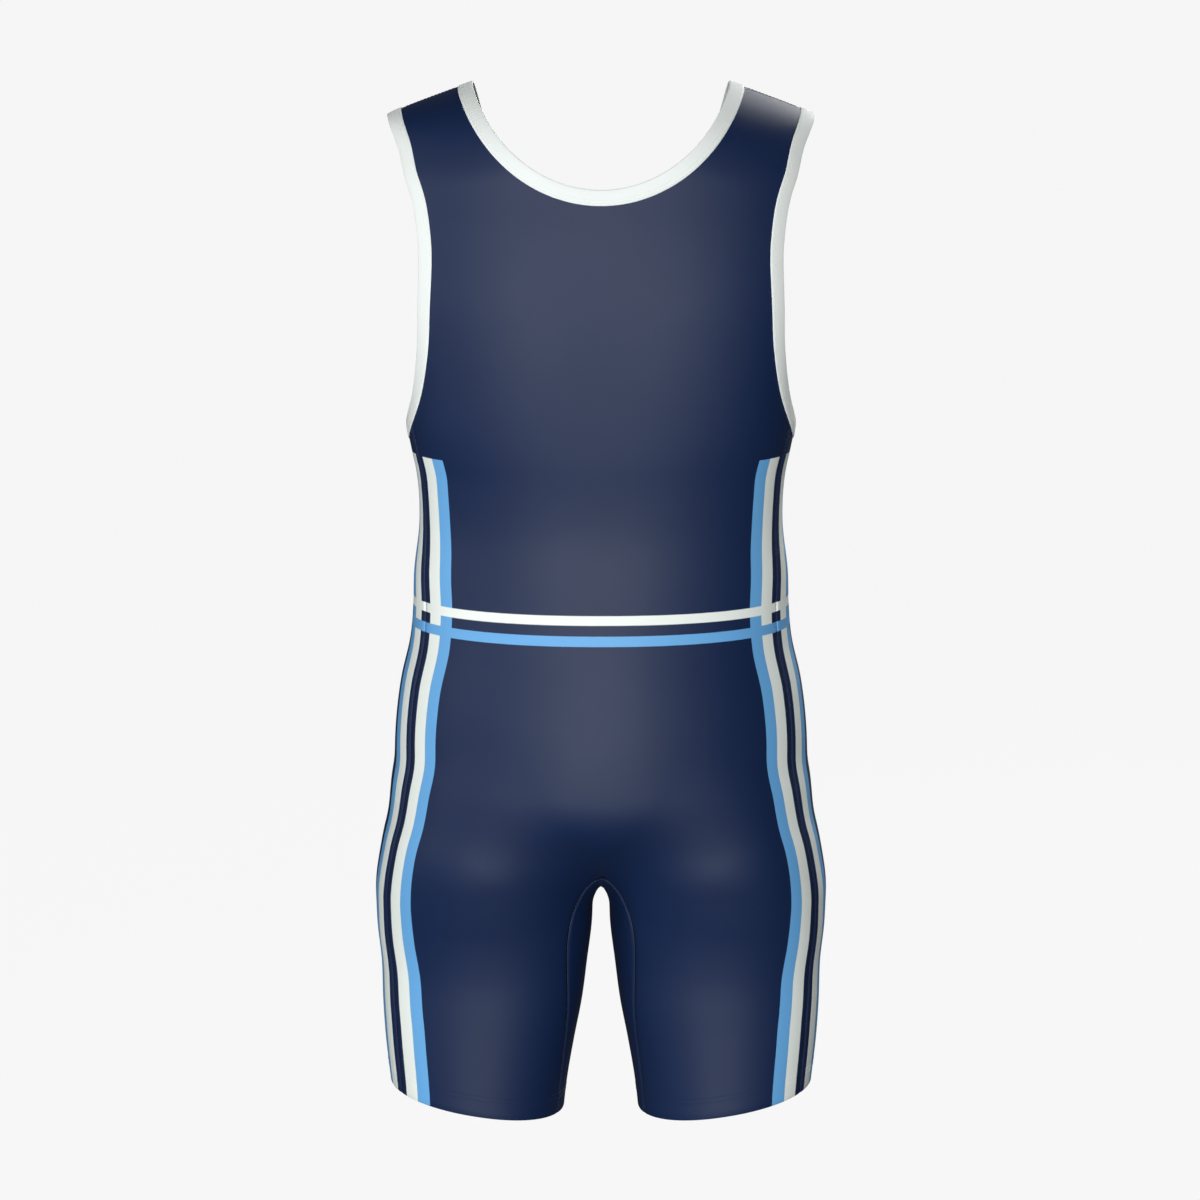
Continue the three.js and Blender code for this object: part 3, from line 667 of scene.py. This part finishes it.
def panel_cloth(side):
    """Both halves of a panel, joined down the centre, with its seams pressed in a little."""
    rows, spans = HALVES[side]
    uv = knit_map(rows, spans)
    from_edge = uv[:, -1:, 0] - uv[..., 0]
    from_start = uv[..., 0] - uv[:, :1, 0]
    from_start[:spans["joined"]] = GROOVE["width"]
    from_edge[:spans["strap"] + ROWS["side"][side] * FINENESS] = GROOVE["width"]
    from_shoulder = uv[..., 1]
    near = np.minimum(np.minimum(from_edge, from_start), from_shoulder) / GROOVE["width"]
    press = GROOVE["depth"] * np.maximum(1 - near, 0) ** 2
    rows = rows - normals_at(rows) * press[..., None]

    with_hem = turned_hem(rows)
    added = with_hem.shape[0] - rows.shape[0]
    down = uv[-1:, :, 1] + np.cumsum(step_lengths(with_hem[-added - 1:]), axis=0)
    uv = np.concatenate([uv, np.stack([np.repeat(uv[-1:, :, 0], added, axis=0), down], axis=-1)])

    height, width = with_hem.shape[:2]
    left = with_hem.reshape(-1, 3)
    points = np.concatenate([left, left * mirror])
    knit = np.concatenate([uv.reshape(-1, 2), uv.reshape(-1, 2) * [-1, 1]])
    stripe = np.stack([np.abs(from_side_seam(points)), points[:, 2]], axis=-1)
    faces = np.concatenate([grid_faces(height, width), grid_faces(height, width, len(left), flip=True)])
    points, faces, maps = merged(points, faces, dict(knit=knit, print=stripe))
    return make_mesh(side + "_panel_cloth", points, outward(points, faces), maps)


back_cloth = panel_cloth("back")
front_cloth = panel_cloth("front")
for piece, side in ((back_cloth, "back"), (front_cloth, "front")):
    widest = 2 * step_lengths(HALVES[side][0], axis=1).sum(axis=1).max()
    print(piece.name, len(piece.data.polygons), "faces, widest row", round(widest), "mm")

# %% [markdown]
# ## The gusset
#
# Between the legs a singlet has one long strip that runs from hem to hem over the crotch. It takes
# the strain there, and it moves the seams away from the middle. Its grid is laid the other way
# round: rows go from the back seam to the front seam, and follow each other up one leg, over the
# arch and down the other.

# %% Crotch gusset
GUSSET_COLUMNS = 30
GUSSET_HALF = 45
FAR_FROM_STRIPES = 400.0


def gusset_cloth():
    """A strip of rows, each between its two seams, from the left hem to the right hem."""
    half = SEAM_GAP / 2
    across = np.linspace(1, -1, GUSSET_COLUMNS + 1)
    height, tilt = (values[:, None] for values in leg_planes())
    reach = value_at(GUSSET, "half_length", height) - half
    leg = inner_leg_points(height, tilt, across * reach)
    share = np.arange(ROWS["arch"] * FINENESS, -1, -1)[:, None] / (ROWS["arch"] * FINENESS)
    arch = arch_points(share, across * (arch_half(share) - half))
    arch[-1, :, 0] = 0
    top_down = np.concatenate([arch[::-1], leg])
    from_seam = (1 - np.abs(across)) * GUSSET_HALF / GROOVE["width"]
    press = GROOVE["depth"] * np.maximum(1 - from_seam, 0) ** 2
    top_down = top_down - normals_at(top_down) * press[:, None]
    top_down[0, :, 0] = 0
    leg_down = turned_hem(top_down)
    strip = np.concatenate([leg_down[::-1], (leg_down * mirror)[1:]])
    along = np.cumsum(np.linalg.norm(np.diff(strip, axis=0, prepend=strip[:1]), axis=2), axis=0)
    sideways = np.cumsum(np.linalg.norm(np.diff(strip, axis=1, prepend=strip[:, :1]), axis=2), axis=1)
    points = strip.reshape(-1, 3)
    faces = grid_faces(*strip.shape[:2])
    plain = np.stack([np.full(len(points), FAR_FROM_STRIPES), points[:, 2]], axis=-1)
    maps = dict(knit=np.stack([sideways, along], axis=-1).reshape(-1, 2), print=plain)
    return make_mesh("crotch_gusset_cloth", points, outward(points, faces), maps)


gusset = gusset_cloth()
print(gusset.name, len(gusset.data.polygons), "faces")

# %% [markdown]
# ## Bindings
#
# A cut edge of knit would curl and stretch, so a strip of white tape is folded over it and
# stitched down. Seen in section the tape is a C: a leaf on the outside, a rounded nose at the very
# edge, and a leaf on the inside, with the cloth between them. A section like that, carried along
# the edge line, makes the whole binding. At each place it is drawn with the line's own directions:
# sideways over the surface, and outwards along its normal.

# %% Folded binding
TAPE = dict(thick=0.5, clear=0.06, overlap=0.5, inside=2.2, crown=0.22, crown_power=0.7)
TAPE_STEP = 4.0
LEAF_POINTS = 9


def tape_section():
    """Places (across, out) round the C: outer leaf, nose, inner leaf, and back inside it."""
    top = TAPE["clear"] + TAPE["thick"]
    bottom = -CLOTH - top
    reach = BINDING_WIDTH + TAPE["overlap"]
    nose = (top - bottom) / 2
    edge = TAPE["thick"] / 2
    leaf = np.linspace(reach - edge, nose, LEAF_POINTS)
    arch = np.sin(np.pi * (leaf - nose) / (reach - nose))
    crown = TAPE["crown"] * arch ** TAPE["crown_power"]
    turn = np.linspace(0, np.pi, LEAF_POINTS)[1:-1]
    outer = np.stack([leaf, top + crown], axis=-1)
    nose_out = (top + bottom) / 2 + nose * np.cos(turn)
    round_nose = np.stack([nose - nose * np.sin(turn), nose_out], axis=-1)
    inner = np.stack([leaf[::-1], bottom - crown[::-1] * 0.5], axis=-1)
    ends = np.array([[reach, bottom + edge], [reach - edge, bottom + 2 * edge]])
    hollow = np.array([[TAPE["inside"], bottom + 2 * edge], [TAPE["inside"], top - 2 * edge]])
    last = np.array([[reach - edge, top - 2 * edge], [reach, top - edge]])
    return np.concatenate([outer, round_nose, inner, ends, hollow, last])


def evenly_round(loop, step):
    """A closed line again, at even steps close to the one given."""
    closed = np.concatenate([loop, loop[:1]])
    count = int(round(length_along(closed)[-1] / step))
    return settled(points_along(closed, count)[:-1])


def binding_tape(name, edge, turn, side=1):
    """The C section carried round an edge line. side is -1 for a mirror image."""
    line = evenly_round(edge, TAPE_STEP)
    section = tape_section()
    widths = np.unique(section[:, 0])
    spread = {width: widened(line, width, turn) for width in widths}
    surface = np.stack([spread[width] for width in section[:, 0]], axis=1)
    points = surface + normals_at(surface) * section[None, :, 1:]
    points = points * [side, 1, 1]
    count, sides = points.shape[:2]
    ids = np.arange(count * sides).reshape(count, sides)
    onward = np.roll(ids, -1, axis=0)
    corners = [ids, np.roll(ids, -1, axis=1), np.roll(onward, -1, axis=1), onward]
    faces = np.stack(corners, axis=-1).reshape(-1, 4)
    along = np.repeat(np.arange(count)[:, None] * TAPE_STEP, sides, axis=1)
    across = np.repeat(section[None, :, 0], count, axis=0)
    knit = np.stack([across, along], axis=-1).reshape(-1, 2)
    points = points.reshape(-1, 3)
    a, b, c = (points[faces[:, k]] for k in range(3))
    if np.sum(a * np.cross(b, c)) < 0:
        faces = faces[:, ::-1]
    return make_mesh(name, points, faces, dict(knit=knit))


neck_tape = binding_tape("neck_binding_tape", NECK_EDGE, NECK_TURN)
left_tape = binding_tape("armhole_binding_left_tape", ARMHOLE_EDGE, ARMHOLE_TURN)
right_tape = binding_tape("armhole_binding_right_tape", ARMHOLE_EDGE, ARMHOLE_TURN, side=-1)
for piece in (neck_tape, left_tape, right_tape):
    print(piece.name, len(piece.data.polygons), "faces")

# %% [markdown]
# ## Threads
#
# Every seam of a singlet is sewn flat, with rows of short stitches on both sides of the join, so
# that nothing rubs. Thousands of stitches would be slow as separate objects. Instead one small
# stitch, a rounded grain of few faces, is copied by arrays to every place along a line, and all
# the stitches of one colour become one mesh.

# %% A stitch and rows of stitches
STITCH = dict(length=2.5, pitch=3.1, width=0.42, height=0.3)
STITCH_SIDES = 6
STITCH_RINGS = (-0.8, 0.0, 0.8)


def stitch_shape():
    """A grain on its long axis: rings of points whose width follows half an ellipse."""
    along = np.array(STITCH_RINGS)
    angle = np.arange(STITCH_SIDES) * 2 * np.pi / STITCH_SIDES
    wide = np.sqrt(1 - along ** 2)[:, None]
    ring = xyz(along[:, None], wide * np.cos(angle), wide * np.sin(angle))
    tips = np.array([[-1.0, 0, 0], [1.0, 0, 0]])
    points = np.concatenate([ring.reshape(-1, 3), tips])
    points = points * [STITCH["length"] / 2, STITCH["width"] / 2, STITCH["height"]]
    k = np.arange(STITCH_SIDES)
    after = (k + 1) % STITCH_SIDES
    wall = np.stack([k, after, after + STITCH_SIDES, k + STITCH_SIDES], axis=-1)
    quads = np.concatenate([wall, wall + STITCH_SIDES])
    tip, last = 3 * STITCH_SIDES, 2 * STITCH_SIDES
    caps = [[after, k, k * 0 + tip], [k + last, after + last, k * 0 + tip + 1]]
    triangles = np.concatenate([np.stack(cap, axis=-1) for cap in caps])
    halves = np.concatenate([quads[:, [0, 1, 2]], quads[:, [0, 2, 3]]])
    return points, np.concatenate([halves, triangles])[:, ::-1]


def stitches_on(line, lift):
    """Points and triangles of the stitches along a line on the surface."""
    grain, triangles = stitch_shape()
    count = max(int(length_along(line)[-1] / STITCH["pitch"]), 1)
    places = points_along(line, 2 * count)
    centre = places[1::2]
    along = unit(places[2::2] - places[:-1:2])
    out = normals_at(centre)
    beside = unit(np.cross(out, along))
    axes = np.stack([along, beside, out], axis=1)
    points = (centre + out * lift)[:, None] + grain @ axes
    faces = triangles[None] + np.arange(count)[:, None, None] * len(grain)
    return points.reshape(-1, 3), faces.reshape(-1, 3)


def threads(name, lines):
    """One mesh of all stitches along several lines, each given with its lift. It keeps the map
    of the print, because the stripes are printed over the seams."""
    points, faces, first = [], [], 0
    for line, lift in lines:
        p, f = stitches_on(line, lift)
        points.append(p)
        faces.append(f + first)
        first += len(p)
    points = np.concatenate(points)
    stripe = np.stack([np.abs(from_side_seam(points)), points[:, 2]], axis=-1)
    piece = make_mesh(name, points, np.concatenate(faces), dict(print=stripe))
    print(name, first // len(stitch_shape()[0]), "stitches,", sum(map(len, faces)), "triangles")
    return piece


# %% Where the threads run
FLAT_SEAM = 2.1
TAPE_STITCHES = (1.6, 4.0)
HEM_STITCHES = (14.0, 18.0)
HEM_POINTS = 240
SHOULDER_END = 8


def beside(line, width):
    """An open line moved sideways over the surface by a width."""
    tangent = unit(np.gradient(line, axis=0))
    return settled(line + unit(np.cross(normals_at(line), tangent)) * width)


def both_sides(lines):
    """The lines of the left half, and their mirror images."""
    return [(line * m, lift) for line, lift in lines for m in (1, mirror)]


def seam_lines():
    """Side, shoulder, gusset and hem stitching of the left half."""
    back, spans = HALVES["back"]
    front, front_spans = HALVES["front"]
    side = back[spans["strap"] + ROWS["side"]["back"] * FINENESS - 1:, -1]
    shoulder = back[0, SHOULDER_END:-SHOULDER_END] * [1, 0, 1]
    lines = [(beside(side, w), 0.0) for w in (-FLAT_SEAM, FLAT_SEAM)]
    lines += [(beside(shoulder, w), 0.0) for w in (-FLAT_SEAM, FLAT_SEAM)]
    for rows, marks in ((back, spans), (front, front_spans)):
        seam = rows[marks["joined"]:, 0]
        lines += [(beside(seam, w), 0.0) for w in (-FLAT_SEAM, FLAT_SEAM)]
    return lines


def hem_lines():
    """Two rows of stitches round the leg, a little above the hem."""
    angle = np.linspace(0, 2 * np.pi, HEM_POINTS)
    lines = []
    for above in HEM_STITCHES:
        middle = body_middle(HEM["height"])
        height = HEM["height"] + above + HEM["tilt"] * (middle - HEM["middle"])
        lines.append((body_points(np.full(HEM_POINTS, height), angle, 1, HEM["tilt"]), 0.0))
    return lines


def tape_lines(edge, turn):
    """Two rows of stitches on a binding, near its sewn side."""
    lift = TAPE["clear"] + TAPE["thick"] + TAPE["crown"] * 0.6
    closed = evenly_round(edge, TAPE_STEP)
    rows = [widened(closed, BINDING_WIDTH - width, turn) for width in TAPE_STITCHES]
    return [(np.concatenate([row, row[:1]]), lift) for row in rows]


navy_threads = threads("seam_threads", both_sides(seam_lines() + hem_lines()))
armhole_rows = both_sides(tape_lines(ARMHOLE_EDGE, ARMHOLE_TURN))
white_threads = threads("binding_threads", tape_lines(NECK_EDGE, NECK_TURN) + armhole_rows)

# %% [markdown]
# ## Thickness
#
# The cloth is still a surface with no wall. A Solidify modifier gives it one, going inwards, so
# the outside stays where it was measured. It also puts a second material on the inner wall,
# because the stripes are printed on the outside only.

# %% Give the cloth its wall


def give_wall(piece):
    wall = piece.modifiers.new("cloth thickness", "SOLIDIFY")
    wall.thickness = CLOTH * MM
    wall.offset = -1
    wall.use_even_offset = False
    wall.material_offset = 1
    wall.material_offset_rim = 1


for piece in (back_cloth, front_cloth, gusset):
    give_wall(piece)
print("cloth wall:", CLOTH, "mm")

# %% [markdown]
# ## Finishes
#
# Shader sums are easier to read as Python than as boxes and wires. The small class below wraps a
# socket, so that adding or multiplying two of them adds the Math node that does it.

# %% Shader sums in Python


class Signal:
    """A number that varies over a surface, with the sums that the finishes use."""

    def __init__(self, shading, socket):
        self.shading, self.socket = shading, socket

    def math(self, operation, *values):
        sockets = {index: value for index, value in enumerate(values)}
        return self.shading.node("ShaderNodeMath", {"operation": operation}, sockets)

    def __add__(self, other):
        return self.math("ADD", self, other)

    def __sub__(self, other):
        return self.math("SUBTRACT", self, other)

    def __mul__(self, other):
        return self.math("MULTIPLY", self, other)

    def __truediv__(self, other):
        return self.math("DIVIDE", self, other)

    def __radd__(self, other):
        return self.math("ADD", other, self)

    def __rsub__(self, other):
        return self.math("SUBTRACT", other, self)

    def __rmul__(self, other):
        return self.math("MULTIPLY", other, self)

    def clamped(self):
        return self.math("MINIMUM", self.math("MAXIMUM", self, 0.0), 1.0)

    def size(self):
        return self.math("ABSOLUTE", self)

    def sine(self):
        return self.math("SINE", self)

    def fraction(self):
        return self.math("FRACT", self)


class Shading:
    """The node tree of one material."""

    def __init__(self, name):
        self.material = bpy.data.materials.new(name)
        self.material.use_nodes = True
        self.tree = self.material.node_tree
        self.shader = self.tree.nodes["Principled BSDF"]

    def node(self, kind, settings=None, sockets=None, output=0):
        """Adds a node, sets it up, and fills its sockets with values or links."""
        node = self.tree.nodes.new(kind)
        for name, value in (settings or {}).items():
            setattr(node, name, value)
        for name, value in (sockets or {}).items():
            if isinstance(value, Signal):
                self.tree.links.new(value.socket, node.inputs[name])
            else:
                node.inputs[name].default_value = value
        return Signal(self, node.outputs[output])

    def set(self, **values):
        """Fills the shader's own sockets, whose names have spaces for underscores."""
        for name, value in values.items():
            socket = self.shader.inputs[name.replace("_", " ")]
            if isinstance(value, Signal):
                self.tree.links.new(value.socket, socket)
            else:
                socket.default_value = value

    def split(self, vector):
        parts = self.node("ShaderNodeSeparateXYZ", None, {0: vector})
        outputs = parts.socket.node.outputs
        return [Signal(self, outputs[k]) for k in range(3)]

    def uv(self, title):
        return self.split(self.node("ShaderNodeUVMap", {"uv_map": title}))

    def place(self):
        return self.node("ShaderNodeTexCoord", output=3)

    def noise(self, vector, scale, detail):
        sockets = {"Vector": vector, "Scale": scale, "Detail": detail, "Roughness": 0.5}
        return self.node("ShaderNodeTexNoise", None, sockets)

    def mix(self, factor, first, second):
        settings = {"data_type": "RGBA"}
        return self.node("ShaderNodeMix", settings, {0: factor, 6: first, 7: second}, output=2)

    def bump(self, height, distance, strength):
        sockets = {"Height": height, "Distance": distance, "Strength": strength}
        return self.node("ShaderNodeBump", None, sockets)


def linear(red, green, blue):
    """A colour as seen on a screen, from 0 to 255, as the amounts of light that make it."""
    seen = np.array([red, green, blue]) / 255
    light = np.where(seen <= 0.04045, seen / 12.92, ((seen + 0.055) / 1.055) ** 2.4)
    return (*light, 1.0)


# %% [markdown]
# ## Knit and print
#
# The cloth is a fine, tight knit. From a step away it looks smooth and satin, and close up it has
# columns of tiny loops. A bump from two waves gives the loops: one across, one down, leaning left
# and right in turn. The stripes are sharp edged print, so they are masks on the distance from the
# side seam and on the height, laid over each other in the order in which they would be printed.

# %% Knit loops, stripes and the cloth's finishes
NAVY = linear(7, 32, 71)
INSIDE_NAVY = linear(12, 28, 58)
WHITE = linear(240, 247, 242)
LIGHT_BLUE = linear(104, 172, 228)
LOOP = dict(wale=0.85, course=0.65, lean=1.6, valley=0.45, depth=0.05)
RIB = dict(across=0.9, along=0.7, depth=0.05)
TWIST = dict(pitch=0.5, depth=0.04)
DYE_RANGE = 0.1
SIDE_STRIPES = dict(top=-304.0, navy=7.5, white=21.5, blue=34.2)
WAIST_STRIPES = dict(white=(-435.9, -428.2), blue=(-452.9, -444.6))
PRINT_EDGE = 0.6


def knit_height(shading):
    """Loops: a wave across, times a wave down that leans one way, then the other."""
    across, down, _ = shading.uv("knit")
    wale = across * (1 / (LOOP["wale"] * MM))
    lean = ((wale.fraction() - 0.5).size() - 0.25) * LOOP["lean"]
    course = down * (1 / (LOOP["course"] * MM)) + lean
    columns = (wale * np.pi).sine().size()
    loops = (course * (2 * np.pi)).sine() * 0.5 + 0.5
    return columns * (loops * (1 - LOOP["valley"]) + LOOP["valley"])


def band(value, low, high):
    """One between two places, in millimetres, and zero beyond them, with a soft print edge."""
    edge = PRINT_EDGE * MM
    rise = ((value - low * MM) / edge + 0.5).clamped()
    fall = ((high * MM - value) / edge + 0.5).clamped()
    return rise * fall


def printed_colour(shading, navy):
    """Navy, then the side stripes, then the waist stripes over them."""
    away, height, _ = shading.uv("print")
    below = ((SIDE_STRIPES["top"] * MM - height) / (PRINT_EDGE * MM) + 0.5).clamped()
    white = band(away, SIDE_STRIPES["navy"], SIDE_STRIPES["white"]) * below
    blue = band(away, SIDE_STRIPES["white"], SIDE_STRIPES["blue"]) * below
    colour = shading.mix(white, navy, WHITE)
    colour = shading.mix(blue, colour, LIGHT_BLUE)
    colour = shading.mix(band(height, *WAIST_STRIPES["white"]), colour, WHITE)
    return shading.mix(band(height, *WAIST_STRIPES["blue"]), colour, LIGHT_BLUE)


def dye_and_shade_tone(base, share):
    """A colour with a share of its light: uneven dye in the knit, painted shade in a thread's grooves.
    """
    return tuple(share * c for c in base[:3]) + (1.0,)


def varied_navy(shading, base):
    """The dye is a little uneven: slow noise between two depths of the same navy."""
    slow = shading.noise(shading.place(), 9.0, detail=3.0)
    return shading.mix(slow, dye_and_shade_tone(base, 1 - DYE_RANGE), dye_and_shade_tone(base, 1 + DYE_RANGE))


def outer_knit():
    shading = Shading("navy_knit_printed")
    height = knit_height(shading)
    slow = shading.noise(shading.place(), 14.0, detail=2.0)
    shading.set(
        Base_Color=printed_colour(shading, varied_navy(shading, NAVY)),
        Roughness=0.52 + 0.05 * slow + 0.04 * (1 - height),
        Specular_IOR_Level=0.4,
        Normal=shading.bump(height, LOOP["depth"] * MM, 0.6),
    )
    return shading.material


def inner_knit():
    shading = Shading("navy_knit_inside")
    height = knit_height(shading)
    shading.set(
        Base_Color=varied_navy(shading, INSIDE_NAVY),
        Roughness=0.72 + 0.08 * (1 - height),
        Sheen_Weight=0.15,
        Sheen_Roughness=0.5,
        Normal=shading.bump(height, LOOP["depth"] * MM, 0.8),
    )
    return shading.material


def tape_knit():
    """White tape: fine ribs along it, and painted shade in their hollows, a darker green grey."""
    shading = Shading("white_binding_tape")
    across, along, _ = shading.uv("knit")
    ribs = (across * (2 * np.pi / (RIB["across"] * MM))).sine() * 0.5 + 0.5
    courses = (along * (2 * np.pi / (RIB["along"] * MM))).sine() * 0.5 + 0.5
    height = ribs * 0.7 + courses * 0.3
    shading.set(
        # The colour darkens where the ribs sink: painted shade in the hollows.
        Base_Color=shading.mix(height, linear(228, 236, 232), linear(246, 250, 248)),
        Roughness=0.62 + 0.08 * (1 - height),
        Sheen_Weight=0.15,
        Sheen_Roughness=0.5,
        Normal=shading.bump(height, RIB["depth"] * MM, 0.5),
    )
    return shading.material


def thread_finish(name, colour, printed=False):
    """Twisted thread: a slanting wave along it, painted shade where the wave sinks, and a low gloss."""
    shading = Shading(name)
    x, y, z = shading.split(shading.place())
    twist = ((x + y + z) * (2 * np.pi / (TWIST["pitch"] * MM))).sine() * 0.5 + 0.5
    # The colour darkens where the twist sinks: painted shade in the grooves of the thread.
    thread = shading.mix(twist, dye_and_shade_tone(colour, 0.8), colour)
    shading.set(
        Base_Color=printed_colour(shading, thread) if printed else thread,
        Roughness=0.55 + 0.1 * twist,
        Specular_IOR_Level=0.3,
        Normal=shading.bump(twist, TWIST["depth"] * MM, 0.4),
    )
    return shading.material


knit_outside, knit_inside, tape = outer_knit(), inner_knit(), tape_knit()
for piece in (back_cloth, front_cloth, gusset):
    piece.data.materials.append(knit_outside)
    piece.data.materials.append(knit_inside)
for piece in (neck_tape, left_tape, right_tape):
    piece.data.materials.append(tape)
navy_threads.data.materials.append(thread_finish("navy_thread", linear(24, 38, 74), printed=True))
white_threads.data.materials.append(thread_finish("white_thread", linear(240, 245, 242)))
print("finishes:", ", ".join(m.name for m in bpy.data.materials))

# %% [markdown]
# ## What each piece is
#
# Each cloth piece stands for a solid, which is hidden, and is hung on the root body, as the threads
# are. The list also gives what the cloth pieces measured flat, before they were sewn, but nothing here
# reads those sizes. Stretch knit is cut about 2 % smaller each way than it is worn. A cut that isn't a
# rectangle gives its area as well.

CLOTHS = [
    (back_cloth, "back_panel", "navy_knit", (0.39, 0.92), 0.29),
    (front_cloth, "front_panel", "navy_knit", (0.59, 0.92), 0.38),
    (gusset, "crotch_gusset", "navy_knit", (0.12, 0.45), 0.042),
    (neck_tape, "neck_binding", "white_binding", (0.026, 0.88), None),
    (left_tape, "armhole_binding_left", "white_binding", (0.026, 0.66), None),
    (right_tape, "armhole_binding_right", "white_binding", (0.026, 0.66), None),
]
for piece, node, slot_name, flat, area in CLOTHS:
    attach(piece, "root")
    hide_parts(node)
for piece, slot_name in ((navy_threads, "navy_knit"), (white_threads, "white_binding")):
    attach(piece, "root")
print("declared", len(CLOTHS), "cloth pieces")

# %% [markdown]
# ## Floor, light and camera
#
# The garment is shown as a shop shows it: on a plain pale ground, lit softly. It hangs at the
# height where a wearer would carry it, so the floor is where the feet would be, far enough down to
# take no shadow in the picture. The floor bends up all round into a wall and a ceiling, so no edge
# shows from any side. It doesn't light the garment, because so much white would wash the navy out.

# %% Pale studio whose floor bends up into the wall
FLOOR_HEIGHT = -1.45
STUDIO = dict(radius=9.0, height=9.0, bend=2.5, bend_points=16, flat_points=8, sides=96)


def studio_profile():
    """Radius and height: out along the floor, round a bend, up the wall and in to the middle."""
    bend, count = STUDIO["bend"], STUDIO["flat_points"]
    turn = np.linspace(0, np.pi / 2, STUDIO["bend_points"])
    inner = STUDIO["radius"] - bend
    top = STUDIO["height"] - bend
    out = np.linspace(0.01, inner, count)
    floor = np.stack([out, np.zeros(count)], axis=-1)
    low = np.stack([inner + bend * np.sin(turn), bend * (1 - np.cos(turn))], axis=-1)
    high = np.stack([inner + bend * np.cos(turn), top + bend * np.sin(turn)], axis=-1)
    ceiling = np.stack([out[::-1], np.full(count, STUDIO["height"])], axis=-1)
    return np.concatenate([floor, low[1:], high, ceiling[1:]])


def studio_walls():
    """The profile turned round the vertical axis, facing inwards."""
    profile = studio_profile()
    around = np.linspace(0, 2 * np.pi, STUDIO["sides"] + 1)
    radius, height = profile[:, :1], profile[:, 1:]
    points = xyz(radius * np.cos(around), radius * np.sin(around), height + FLOOR_HEIGHT)
    faces = grid_faces(*points.shape[:2], flip=True)
    studio = make_mesh("studio_floor", points.reshape(-1, 3) / MM, faces)
    studio.visible_diffuse = False
    studio.visible_glossy = False
    shading = Shading("pale_floor")
    shading.set(
        Base_Color=linear(34, 34, 34),
        Roughness=0.95,
        Specular_IOR_Level=0.0,
        Emission_Color=linear(246, 246, 246),
        Emission_Strength=0.995,
    )
    studio.data.materials.append(shading.material)
    return studio


floor = studio_walls()
print("floor at", FLOOR_HEIGHT, "m")

# %% [markdown]
# ## Light and camera
#
# Satin knit is drawn by its highlights. One soft light stands close to the camera and gives the
# pale patches where the cloth faces it, and a low one does the same for the legs. A wide light on
# the left keeps that side a shade paler than the right. Two more stand on the garment's front side,
# to the right, and touch the top of the right strap. Little light comes from all round, so the
# parts turned away stay dark.
#
# The camera stands behind the garment and a little above its middle, far enough off to look nearly
# square at it.

# %% Soft lights
TARGET = Vector((0.00085, 0.0, -0.435))
AMBIENT = 0.05


def soft_light(name, azimuth, elevation, distance, size, level):
    """A disk of white light. level 1 shows white cloth that faces it as full white."""
    lamp = bpy.data.lights.new(name, "AREA")
    lamp.shape = "DISK"
    lamp.size = size
    lamp.energy = level * (np.pi * distance) ** 2
    light = bpy.data.objects.new(name, lamp)
    turn, rise = np.radians(azimuth), np.radians(elevation)
    away = Vector((np.sin(turn) * np.cos(rise), np.cos(turn) * np.cos(rise), np.sin(rise)))
    light.location = TARGET + away * distance
    light.rotation_euler = (-away).to_track_quat("-Z", "Y").to_euler()
    bpy.context.scene.collection.objects.link(light)
    return light


soft_light("front light", azimuth=4, elevation=10, distance=4.2, size=1.2, level=0.72)
soft_light("low light", azimuth=0, elevation=-24, distance=1.9, size=0.6, level=0.2)
soft_light("left light", azimuth=65, elevation=12, distance=3.2, size=1.8, level=0.3)
soft_light("rim light", azimuth=-142, elevation=42, distance=2.6, size=0.8, level=0.45)
soft_light("far light", azimuth=-152, elevation=18, distance=3.8, size=1.6, level=0.45)

world = bpy.data.worlds.new("pale studio")
world.use_nodes = True
world.node_tree.nodes["Background"].inputs["Color"].default_value = (1.0, 1.0, 1.0, 1.0)
world.node_tree.nodes["Background"].inputs["Strength"].default_value = AMBIENT
bpy.context.scene.world = world
bpy.context.scene.view_settings.view_transform = "Standard"

# %% Camera behind the garment, a little above it
CAMERA = dict(distance=3.4, elevation=11.3, width=0.847 * 1200 * MM)


def camera_behind():
    """Looks at the back from a distance, so that the frame is as wide as stated at the garment."""
    lens = bpy.data.cameras.new("camera")
    lens.sensor_width = 36.0
    lens.lens = lens.sensor_width * CAMERA["distance"] / CAMERA["width"]
    lens.clip_end = 60.0
    up = np.radians(CAMERA["elevation"])
    camera = bpy.data.objects.new("camera", lens)
    camera.location = TARGET + CAMERA["distance"] * Vector((0, np.cos(up), np.sin(up)))
    camera.rotation_euler = (TARGET - camera.location).to_track_quat("-Z", "Y").to_euler()
    bpy.context.scene.collection.objects.link(camera)
    bpy.context.scene.camera = camera
    return camera


camera = camera_behind()
print("lens", round(camera.data.lens, 1), "mm")
